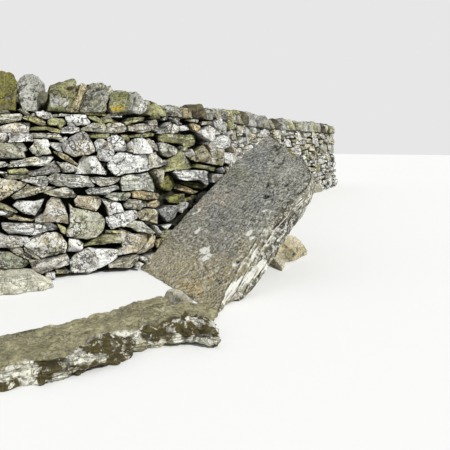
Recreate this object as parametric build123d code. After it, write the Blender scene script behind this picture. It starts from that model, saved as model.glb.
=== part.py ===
from build123d import *
import math
import os

# A dry stone field wall in six bays that bends at a great leaning slab.
# Millimetres, +Z up. X runs along the row from the plumb left end to the rounded right end,
# and the front of the wall looks towards -Y. The origin is on the ground under the third bay.

# The six bays, from left to right: length along the foot of the front face, and heading from X
BAY_LENGTHS = [2400, 1385, 1590, 2170, 2010, 2250]
BAY_HEADINGS = [-34.4, -2.8, 18.3, 16.3, 4.4, 4.4]

# The section of the wall, which every bay shares
BATTER = 0.10               # inward lean of each face for each unit of height
BODY_HEIGHT = 1330          # from the ground to the bed of the cope
FOOTING_HEIGHT = 170
FOOTING_STEP = 45           # how far the footing stands out of each face
FACE_FOOT = 230             # thickness of a face at the footing
FACE_TOP = 150              # thickness of a face under the cope
HEART_WIDTH = 186           # the packed core between the faces, where they stand on the footing
BASE_WIDTH = HEART_WIDTH + 2 * FACE_FOOT + 2 * BATTER * FOOTING_HEIGHT
CHEEK_LENGTH = 320          # the bonded stones that close the left end

# The hollow beside the slab where face stones have fallen out of the second bay
HOLLOW_START = 400          # from the bend, along the bay
HOLLOW_LENGTH = 560
HOLLOW_SILL = 380
HOLLOW_HEIGHT = 430

# Cope stones
COPE_HEIGHT = 250           # a tall stone, above its bed
COPE_JOINT = 7              # gap between neighbours
COPE_OVERHANG = 18          # past each face of the wall
END_COPE_HEIGHT = 215
END_COPE_COUNT = 4
END_COPE_EYE = 45           # clear middle that the fan of end stones stands round

# The leaning slab: its upper face rises from a foot that lies level across the bend
SLAB_FOOT_ALONG = -26       # inner end of the foot, past the bend along the second bay
SLAB_FOOT_OUT = 51          # and in front of the wall's foot line
SLAB_TURN = -25.9           # heading of its slope from the second bay
SLAB_SLOPE = 36.5
SLAB_EDGE = 200             # thickness near its outer edge
SLAB_SWELL = 0.20           # how fast it thickens towards the wall
SLAB_SWELL_FROM = 1050
SLAB_SUNK = 80              # length of the foot below ground before it is cut off level

# Outline of its upper face: distance up the slope, and across it from the wall outwards
SLAB_CROWN = [
    (-SLAB_SUNK, -40), (420, -250), (950, -370), (1565, -490), (1975, -430),
    (1820, -30), (1685, 300), (1515, 640), (1385, 840), (1280, 900),
    (1035, 885), (760, 905), (430, 1020), (215, 1130), (-SLAB_SUNK, 1330),
]
# The same corners round its underside, which reaches back to the wall
SLAB_BELLY = [
    (-SLAB_SUNK, -300), (420, -480), (950, -640), (1500, -850), (1800, -620),
    (1700, -100), (1640, 330), (1593, 479), (1514, 552), (1235, 707),
    (1044, 785), (821, 902), (480, 1032), (332, 1080), (-SLAB_SUNK, 1150),
]

# Stones on the ground: corners along and out from the first bay's foot line at the bend
FALLEN_THICKNESS = 112
FALLEN_OUTLINE = [
    (-1450, 1450), (-1330, 1395), (-1127, 1425), (-950, 1385), (-700, 1325), (-531, 1258), (-368, 1163),
    (-201, 1133), (-145, 1180), (-165, 1320), (-100, 1250), (-22, 1150), (120, 1180), (132, 1340),
    (34, 1480), (-10, 1610), (-66, 1815), (-308, 1680), (-420, 1642), (-517, 1702), (-613, 1777),
    (-812, 1831), (-948, 1840), (-1044, 1812), (-1330, 1790),
]
TOE_HEIGHT = 85
TOE_OUTLINE = [(-105, 905), (-70, 1050), (-22, 1170), (42, 1160), (48, 960), (38, 880), (-15, 840), (-80, 852)]

LARGE_PROP_HEIGHT = 205
LARGE_PROP_OUTLINE = [
    (850, 190), (1090, 205), (1265, 262), (1300, 308), (1430, 238), (1540, 150), (1645, 85),
    (1625, 45), (1543, 28), (1415, 86), (1290, 110), (1120, 60), (880, 20),
]
SMALL_PROP_HEIGHT = 125
SMALL_PROP_OUTLINE = [(1105, 328), (1085, 470), (1085, 545), (1180, 430), (1225, 330), (1190, 225), (1100, 235)]

# The broad footing stone that stands out under the first bay
PLINTH_HEIGHT = 120
PLINTH_OUTLINE = [
    (-1560, -20), (-1540, 230), (-1330, 325), (-1120, 290), (-1000, 330), (-930, 282),
    (-831, 306), (-745, 245), (-700, -20),
]
# Share of a ground stone's outline that is left at each share of its height, below its top
SHOULDERS = [(0, 1.00), (0.55, 0.985)]

# The broken tops of ground stones: a point on the break by its place along, its place out and its
# height, then how far the break rises for each unit along and for each unit out
FALLEN_BREAK = (-160, 1320, 112, -0.28, 0)
LARGE_PROP_BREAK = (1265, 260, 170, -0.80, -1.01)
SMALL_PROP_BREAK = (1200, 200, 120, 0, -0.27)
PLINTH_BREAK = (-899, 136, 120, -0.75, 0)

# Outlines of a cope stone as shares of its length and height, from its right foot over the top
CROWNS = {
    "round": [(0.90, 0), (1.00, 0.42), (0.94, 0.76), (0.72, 0.96), (0.42, 1.00), (0.14, 0.84), (0.00, 0.46),
              (0.10, 0)],
    "block": [(0.96, 0), (0.99, 0.62), (0.90, 0.95), (0.48, 1.00), (0.10, 0.93), (0.01, 0.58), (0.04, 0)],
    "rise": [(0.96, 0), (1.00, 0.66), (0.97, 0.97), (0.84, 1.00), (0.42, 0.80), (0.06, 0.52), (0.00, 0.30),
             (0.05, 0)],
    "fall": [(0.94, 0), (1.00, 0.28), (0.93, 0.50), (0.56, 0.82), (0.17, 1.00), (0.03, 0.96), (0.00, 0.62),
             (0.05, 0)],
    "peak": [(0.93, 0), (1.00, 0.34), (0.86, 0.72), (0.55, 1.00), (0.36, 0.97), (0.12, 0.58), (0.00, 0.30),
             (0.08, 0)],
    "slice": [(1.00, 0), (1.00, 0.86), (0.80, 1.00), (0.30, 0.94), (0.00, 0.78), (0.00, 0)],
    "shoulder": [(0.97, 0), (1.00, 0.70), (0.98, 0.90), (0.82, 1.00), (0.40, 0.87), (0.08, 0.74),
                 (0.00, 0.40), (0.05, 0)],
    "boulder": [(0.68, 0), (0.88, 0.22), (1.00, 0.55), (0.97, 0.80), (0.72, 0.94), (0.42, 1.00), (0.14, 0.92),
                (0.02, 0.62), (0.10, 0.28), (0.30, 0)],
}

# The cope of each bay, stone by stone: share of the bay, height as a share of a tall stone's,
# outline, and lean of its right joint as run for each unit of rise
COPES = [
    [(255, 0.98, "round", 0), (210, 1.08, "peak", 0), (270, 0.92, "block", 0.08), (250, 1.06, "rise", 0.16),
     (275, 1.02, "fall", 0), (235, 1.25, "block", 0.06), (205, 1.17, "boulder", 0.10),
     (185, 1.10, "shoulder", 0.38), (60, 0.95, "slice", 0.42), (215, 1.01, "block", 0.45),
     (240, 0.86, "boulder", 0)],
    [(295, 0.76, "boulder", 0), (270, 0.52, "round", 0.04), (215, 0.38, "block", 0.04), (190, 0.32, "block", 0),
     (205, 0.54, "peak", 0), (210, 0.42, "round", 0)],
    [(150, 0.45, "round", 0), (190, 0.50, "peak", 0.08), (160, 0.53, "block", 0), (175, 0.57, "boulder", 0),
     (205, 0.60, "rise", 0.12), (160, 0.64, "fall", 0), (190, 0.69, "round", 0.04), (175, 0.74, "block", 0),
     (185, 0.78, "peak", 0)],
    [(190, 0.79, "boulder", 0), (160, 0.77, "rise", 0.14), (220, 0.74, "fall", 0.04), (170, 0.82, "block", 0),
     (150, 0.89, "peak", 0), (240, 0.78, "round", -0.06), (190, 0.82, "block", 0), (200, 0.76, "rise", 0.12),
     (185, 0.86, "fall", 0), (235, 0.88, "boulder", 0), (230, 0.78, "block", 0)],
    [(180, 0.80, "peak", 0), (220, 0.85, "round", 0.06), (160, 0.74, "block", 0), (190, 0.89, "shoulder", 0.2),
     (230, 0.77, "fall", 0), (170, 0.82, "boulder", 0), (200, 0.87, "block", -0.04), (180, 0.74, "peak", 0),
     (260, 0.80, "round", 0), (220, 0.85, "fall", 0)],
    [(220, 0.84, "block", 0), (190, 0.95, "rise", 0.12), (240, 0.89, "boulder", 0), (170, 0.98, "peak", 0),
     (230, 0.84, "fall", 0.04), (190, 0.94, "round", 0), (250, 0.97, "block", 0), (180, 0.88, "rise", 0.1),
     (220, 0.95, "boulder", 0), (190, 0.90, "peak", 0), (170, 0.87, "block", 0)],
]
# Share of its full outline that a cope stone keeps at its front, middle and back
COPE_TAPERS = [(0.93, 1.00, 0.88), (0.96, 1.00, 0.84), (0.90, 1.00, 0.94)]


def on_heading(angle):
    """Unit vector in plan on a heading, in degrees from X."""
    return Vector(math.cos(math.radians(angle)), math.sin(math.radians(angle)), 0)


def faceted(rings, flat_sides=True):
    """Closed solid through matching rings of corners; sides that are not flat are split in two."""
    faces = [Face(Wire.make_polygon(rings[0])), Face(Wire.make_polygon(rings[-1]))]
    for lower, upper in zip(rings, rings[1:]):
        for near in range(len(lower)):
            far = (near + 1) % len(lower)
            if flat_sides:
                sides = [[lower[near], lower[far], upper[far], upper[near]]]
            else:
                sides = [[lower[near], lower[far], upper[far]], [lower[near], upper[far], upper[near]]]
            faces.extend(Face(Wire.make_polygon(side)) for side in sides)
    return Solid(Shell(faces))


# Plan of the row: directions of the bays, and the stations of the front foot line between them
ALONG = [on_heading(heading) for heading in BAY_HEADINGS]
INWARD = [on_heading(heading + 90) for heading in BAY_HEADINGS]
BAYS = len(BAY_LENGTHS)
MIDDLE_BAY = 2
stations = [Vector(0, 0, 0)]
for bay_length, direction in zip(BAY_LENGTHS, ALONG):
    stations.append(stations[-1] + direction * bay_length)
row_middle = (stations[MIDDLE_BAY] + stations[MIDDLE_BAY + 1]) * 0.5 + INWARD[MIDDLE_BAY] * (BASE_WIDTH / 2)
STATIONS = [station - row_middle for station in stations]
BEND = STATIONS[1]


def mitre(station):
    """Plan step at a station that takes a line one unit further into the wall, square to both bays."""
    before = INWARD[max(station - 1, 0)]
    after = INWARD[min(station, BAYS - 1)]
    return (before + after) * (1 / (1 + before.dot(after)))


def at(station, inward, height, along=0):
    """Corner at a station, at a distance in from the front foot line and a height."""
    shift = ALONG[min(station, BAYS - 1)] * along
    return STATIONS[station] + mitre(station) * inward + shift + Vector(0, 0, height)


def by_bend(along, out, height=0):
    """Point by its distance along the first bay past the bend, and out in front of it."""
    return BEND + ALONG[0] * along - INWARD[0] * out + Vector(0, 0, height)


def inset(height):
    """How far the front face has leaned in at a height."""
    return BATTER * height


def back_of(inward):
    """The distance from the front foot line of the mirror image of a point about the wall's middle."""
    return BASE_WIDTH - inward


# Corners of the section, as distances in from the front foot line and heights
FOOTING_SECTION = [
    (-FOOTING_STEP, 0), (back_of(-FOOTING_STEP), 0),
    (back_of(-FOOTING_STEP), FOOTING_HEIGHT), (-FOOTING_STEP, FOOTING_HEIGHT),
]
FACE_SECTION = [
    (inset(FOOTING_HEIGHT), FOOTING_HEIGHT), (inset(FOOTING_HEIGHT) + FACE_FOOT, FOOTING_HEIGHT),
    (inset(BODY_HEIGHT) + FACE_TOP, BODY_HEIGHT), (inset(BODY_HEIGHT), BODY_HEIGHT),
]
BACK_SECTION = [(back_of(inward), height) for inward, height in FACE_SECTION]
HEART_SECTION = [FACE_SECTION[1], BACK_SECTION[1], BACK_SECTION[2], FACE_SECTION[2]]
BODY_SECTION = [FACE_SECTION[0], BACK_SECTION[0], BACK_SECTION[3], FACE_SECTION[3]]


def bay_solid(bay, section, start=0):
    """One bay's length of a section, mitred at both of its stations."""
    near = [at(bay, inward, height, start) for inward, height in section]
    far = [at(bay + 1, inward, height) for inward, height in section]
    return faceted([near, far])


def cheek():
    """The bonded block of end stones that closes the left end."""
    near = [at(0, inward, height) for inward, height in BODY_SECTION]
    far = [at(0, inward, height, CHEEK_LENGTH) for inward, height in BODY_SECTION]
    return faceted([near, far])


def hollow():
    """The space of the fallen face stones, right through the front face of the second bay."""
    reach = FOOTING_STEP + FACE_FOOT + inset(HOLLOW_SILL + HOLLOW_HEIGHT)
    rings = []
    for depth in (-FOOTING_STEP, reach):
        corner = BEND + ALONG[1] * HOLLOW_START + INWARD[1] * depth
        across = ALONG[1] * HOLLOW_LENGTH
        rings.append([
            corner + Vector(0, 0, HOLLOW_SILL), corner + across + Vector(0, 0, HOLLOW_SILL),
            corner + across * 0.86 + Vector(0, 0, HOLLOW_SILL + HOLLOW_HEIGHT),
            corner + across * 0.12 + Vector(0, 0, HOLLOW_SILL + HOLLOW_HEIGHT * 0.8),
        ])
    return faceted(rings)


def slab_point(up, across, depth=0):
    """Point by its place on the slab's upper face and its depth below that face."""
    heading = BAY_HEADINGS[1] + SLAB_TURN
    slope = math.radians(SLAB_SLOPE)
    level = on_heading(heading)
    up_slope = level * math.cos(slope) + Vector(0, 0, math.sin(slope))
    outward = on_heading(heading - 90)
    down = level * math.sin(slope) - Vector(0, 0, math.cos(slope))
    foot = BEND + ALONG[1] * SLAB_FOOT_ALONG - INWARD[1] * SLAB_FOOT_OUT
    return foot + up_slope * up + outward * across + down * depth


def leaning_slab():
    """The great slab: an upper face, a swelling underside and split sides, cut off at the ground."""
    crown = [slab_point(up, across) for up, across in SLAB_CROWN]
    belly = [
        slab_point(up, across, SLAB_EDGE + SLAB_SWELL * (SLAB_SWELL_FROM - across))
        for up, across in SLAB_BELLY
    ]
    return above_ground(faceted([crown, belly], flat_sides=False))


def above_ground(shape):
    """The part of a shape that stands above the ground."""
    size = shape.bounding_box()
    middle = size.center()
    buried = Box(*(size.size * 2), align=(Align.CENTER, Align.CENTER, Align.MAX))
    return one_solid(shape - Pos(middle.X, middle.Y, 0) * buried)


def one_solid(shape):
    """The largest solid of a cut shape, without the slivers that a cut may leave."""
    return max(shape.solids(), key=lambda solid: solid.volume)


def ground_stone(outline, height, top_share):
    """A stone on the ground: an outline drawn in over a shoulder towards a flat top."""
    corners = [by_bend(along, out) for along, out in outline]
    middle = sum(corners, Vector(0, 0, 0)) * (1 / len(corners))
    rings = []
    for rise, share in SHOULDERS + [(1, top_share)]:
        rings.append([middle + (corner - middle) * share + Vector(0, 0, height * rise) for corner in corners])
    return faceted(rings)


def broken(stone, along, out, height, rise_along, rise_out):
    """A ground stone without what lay above a sloping break."""
    normal = Vector(0, 0, 1) - ALONG[0] * rise_along + INWARD[0] * rise_out
    plane = Plane(origin=by_bend(along, out, height), z_dir=normal)
    size = stone.bounding_box().diagonal
    return stone - plane * Box(3 * size, 3 * size, size, align=(Align.CENTER, Align.CENTER, Align.MIN))


def cope_stone(length, height, crown, lean_left, lean_right, width, tapers):
    """One cope stone, its left foot at the origin, with its length on X and the wall's width on Y."""
    outline = []
    for share, rise in CROWNS[crown]:
        left = COPE_JOINT / 2 + lean_left * height * rise
        right = length - COPE_JOINT / 2 + lean_right * height * rise
        outline.append((left + (right - left) * share, height * rise))
    middle = length / 2
    rings = []
    for taper, across in zip(tapers, (-0.5, 0, 0.5)):
        rings.append([
            Vector(middle + (x - middle) * taper, width * across, z * taper) for x, z in outline
        ])
    return faceted(rings)


def cope(bay):
    """A bay's row of cope stones, stretched to the bay and cut back at its mitred ends."""
    stones = COPES[bay]
    stretch = BAY_LENGTHS[bay] / sum(stone[0] for stone in stones)
    top_width = BASE_WIDTH - 2 * inset(BODY_HEIGHT) + 2 * COPE_OVERHANG
    place = Plane(
        origin=STATIONS[bay] + INWARD[bay] * (BASE_WIDTH / 2) + Vector(0, 0, BODY_HEIGHT),
        x_dir=ALONG[bay], z_dir=(0, 0, 1),
    )
    reach = BASE_WIDTH
    highest = BODY_HEIGHT + 2 * COPE_HEIGHT
    bounds = faceted([
        [at(bay, -reach, 0, COPE_JOINT / 2), at(bay, back_of(-reach), 0, COPE_JOINT / 2),
         at(bay, back_of(-reach), highest, COPE_JOINT / 2), at(bay, -reach, highest, COPE_JOINT / 2)],
        [at(bay + 1, -reach, 0) - ALONG[bay] * (COPE_JOINT / 2),
         at(bay + 1, back_of(-reach), 0) - ALONG[bay] * (COPE_JOINT / 2),
         at(bay + 1, back_of(-reach), highest) - ALONG[bay] * (COPE_JOINT / 2),
         at(bay + 1, -reach, highest) - ALONG[bay] * (COPE_JOINT / 2)],
    ])
    start = 0
    lean_left = 0
    row = []
    for order, (share, rise, crown, lean) in enumerate(stones):
        tapers = COPE_TAPERS[order % len(COPE_TAPERS)]
        length = share * stretch
        stone = cope_stone(length, rise * COPE_HEIGHT, crown, lean_left, lean, top_width, tapers)
        placed = place * Pos(start, 0, 0) * stone
        row.append(one_solid(placed & bounds))
        start += length
        lean_left = lean
    return row


def rounded_end(profile, sweep=180, turn=0):
    """A profile of radii and heights turned round the middle of the wall's right end."""
    centre = STATIONS[BAYS] + INWARD[BAYS - 1] * (BASE_WIDTH / 2)
    face = make_face(Polyline(*[(radius, 0, height) for radius, height in profile], close=True))
    turned = revolve(face, axis=Axis.Z, revolution_arc=sweep)
    return Pos(centre) * Rot(Z=BAY_HEADINGS[-1] - 90 + turn) * turned


def end_radius(height):
    """Radius of the rounded end at a height."""
    return BASE_WIDTH / 2 - inset(height)


def end_cope():
    """The fan of cope stones round the right end."""
    gap = math.degrees(COPE_JOINT / end_radius(BODY_HEIGHT))
    sweep = 180 / END_COPE_COUNT - gap
    outer = end_radius(BODY_HEIGHT) + COPE_OVERHANG
    heights = [BODY_HEIGHT + END_COPE_HEIGHT * share for share in (0.45, 0.85, 1.0, 0.8)]
    radii = [outer, outer * 0.86, outer * 0.5, END_COPE_EYE]
    profile = [(END_COPE_EYE, BODY_HEIGHT), (outer, BODY_HEIGHT)] + list(zip(radii, heights))
    return [
        rounded_end(profile, sweep, gap / 2 + order * 180 / END_COPE_COUNT)
        for order in range(END_COPE_COUNT)
    ]


def build():
    """Every piece of the wall by its name."""
    slab = leaning_slab()
    parts = {"leaning_slab": slab, "left_end": cheek()}
    for bay in range(BAYS):
        start = CHEEK_LENGTH if bay == 0 else 0
        name = f"bay_{bay + 1}"
        parts[f"{name}_footing"] = bay_solid(bay, FOOTING_SECTION)
        parts[f"{name}_front_face"] = bay_solid(bay, FACE_SECTION, start)
        parts[f"{name}_back_face"] = bay_solid(bay, BACK_SECTION, start)
        parts[f"{name}_hearting"] = bay_solid(bay, HEART_SECTION, start)
        parts[f"{name}_cope"] = Compound(children=cope(bay))
    parts["bay_2_front_face"] = parts["bay_2_front_face"] - hollow()

    # The wall is built against the slab, so what the slab reaches is cut to it
    for bay in (1, 2, 3):
        for piece in ("footing", "front_face"):
            name = f"bay_{bay}_{piece}"
            parts[name] = one_solid(parts[name] - slab)

    parts["round_end_footing"] = rounded_end([
        (0, 0), (end_radius(0) + FOOTING_STEP, 0),
        (end_radius(0) + FOOTING_STEP, FOOTING_HEIGHT), (0, FOOTING_HEIGHT),
    ])
    parts["round_end"] = rounded_end([
        (0, FOOTING_HEIGHT), (end_radius(FOOTING_HEIGHT), FOOTING_HEIGHT),
        (end_radius(BODY_HEIGHT), BODY_HEIGHT), (0, BODY_HEIGHT),
    ])
    parts["round_end_cope"] = Compound(children=end_cope())

    fallen = one_solid(broken(ground_stone(FALLEN_OUTLINE, FALLEN_THICKNESS, 0.97), *FALLEN_BREAK) - slab)
    toe = one_solid(ground_stone(TOE_OUTLINE, TOE_HEIGHT, 0.55) - slab - fallen)
    large_prop = broken(ground_stone(LARGE_PROP_OUTLINE, LARGE_PROP_HEIGHT, 0.97), *LARGE_PROP_BREAK)
    large_prop = one_solid(large_prop - slab)
    small_prop = broken(ground_stone(SMALL_PROP_OUTLINE, SMALL_PROP_HEIGHT, 0.9), *SMALL_PROP_BREAK)
    small_prop = one_solid(small_prop - slab - large_prop)
    plinth = broken(ground_stone(PLINTH_OUTLINE, PLINTH_HEIGHT, 0.96), *PLINTH_BREAK)
    parts["fallen_slab"] = fallen
    parts["toe_stone"] = toe
    parts["prop_stone_large"] = large_prop
    parts["prop_stone_small"] = small_prop
    parts["front_footing_stone"] = one_solid(plinth - parts["bay_1_footing"])
    return parts


os.makedirs("parts", exist_ok=True)
for node, shape in build().items():
    export_step(shape, f"parts/{node}.step")
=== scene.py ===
import itertools
import math

import bmesh
import bpy
import numpy as np
from mathutils import Euler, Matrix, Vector
from mathutils.bvhtree import BVHTree


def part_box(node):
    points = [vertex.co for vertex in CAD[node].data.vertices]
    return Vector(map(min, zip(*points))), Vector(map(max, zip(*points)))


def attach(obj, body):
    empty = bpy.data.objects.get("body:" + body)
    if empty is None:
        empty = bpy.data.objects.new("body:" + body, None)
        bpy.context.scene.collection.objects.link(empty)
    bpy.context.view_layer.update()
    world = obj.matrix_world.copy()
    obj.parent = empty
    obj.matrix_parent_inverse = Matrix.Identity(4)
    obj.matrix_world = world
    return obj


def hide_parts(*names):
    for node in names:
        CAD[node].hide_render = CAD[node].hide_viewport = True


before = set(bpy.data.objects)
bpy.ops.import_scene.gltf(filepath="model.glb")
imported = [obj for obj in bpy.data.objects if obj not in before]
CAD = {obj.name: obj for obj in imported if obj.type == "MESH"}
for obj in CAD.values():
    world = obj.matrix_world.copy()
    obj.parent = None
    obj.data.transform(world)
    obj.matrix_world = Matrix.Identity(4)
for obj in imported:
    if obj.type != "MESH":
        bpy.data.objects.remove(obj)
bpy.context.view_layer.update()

bl_info = {
    "name": "Dry Stone Wall",
    "version": (1, 0, 0),
    "blender": (4, 5, 0),
    "location": "View3D > Sidebar > Dry Stone",
    "description": "Lays the stones of a dry stone field wall and its leaning slab round the packed frame",
    "category": "Object",
}

BAYS = 6

# The camera, as it stood in front of the wall, in metres, degrees and pixels
CAMERA_PLACE = np.array([-5.2607, -3.2851, 1.08])
CAMERA_HEADING = 31.0
CAMERA_DROP = 9.28
CAMERA_LENS = 40.0
CAMERA_SENSOR = 36.0
PHOTO_SIZE = 450
PHOTO_MIDDLE = PHOTO_SIZE / 2
FOCAL = PHOTO_SIZE * CAMERA_LENS / CAMERA_SENSOR

# Finishes of a stone: colour, then its share of pale lichen and of green growth
LOOKS = {
    "white": ((0.55, 0.545, 0.50), 0.95, 0.05),
    "pale": ((0.63, 0.625, 0.50), 0.60, 0.12),
    "grey": ((0.46, 0.455, 0.40), 0.60, 0.12),
    "slate": ((0.33, 0.33, 0.32), 0.50, 0.10),
    "green": ((0.47, 0.475, 0.345), 0.45, 0.25),
    "olive": ((0.46, 0.455, 0.22), 0.22, 0.45),
    "tan": ((0.58, 0.52, 0.36), 0.50, 0.12),
    "ochre": ((0.58, 0.48, 0.26), 0.32, 0.15),
    "brown": ((0.42, 0.385, 0.30), 0.55, 0.20),
    "moss": ((0.24, 0.25, 0.06), 0.08, 1.00),
    "gold": ((0.22, 0.20, 0.045), 0.02, 0.80),
    "lime": ((0.27, 0.265, 0.065), 0.08, 0.60),
    "peat": ((0.095, 0.080, 0.050), 0.12, 0.40),
    "sand": ((0.50, 0.445, 0.29), 0.00, 0.00),
    # This tan is made lighter as painted light, for a thin cope stone that sits in shade between larger ones
    "lit_tan": ((0.88, 0.76, 0.46), 0.00, 0.00),
    "sill": ((0.36, 0.335, 0.195), 0.16, 0.20),
    "fern": ((0.33, 0.34, 0.165), 0.20, 0.50),
}
# How common each is among the stones that fill the faces
LOOK_SHARES = {"white": 7, "pale": 4, "grey": 6, "slate": 2, "green": 3, "olive": 4, "tan": 5, "ochre": 1,
               "brown": 3}
COMMON_LOOKS = [look for look, share in LOOK_SHARES.items() for _ in range(share)]

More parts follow.
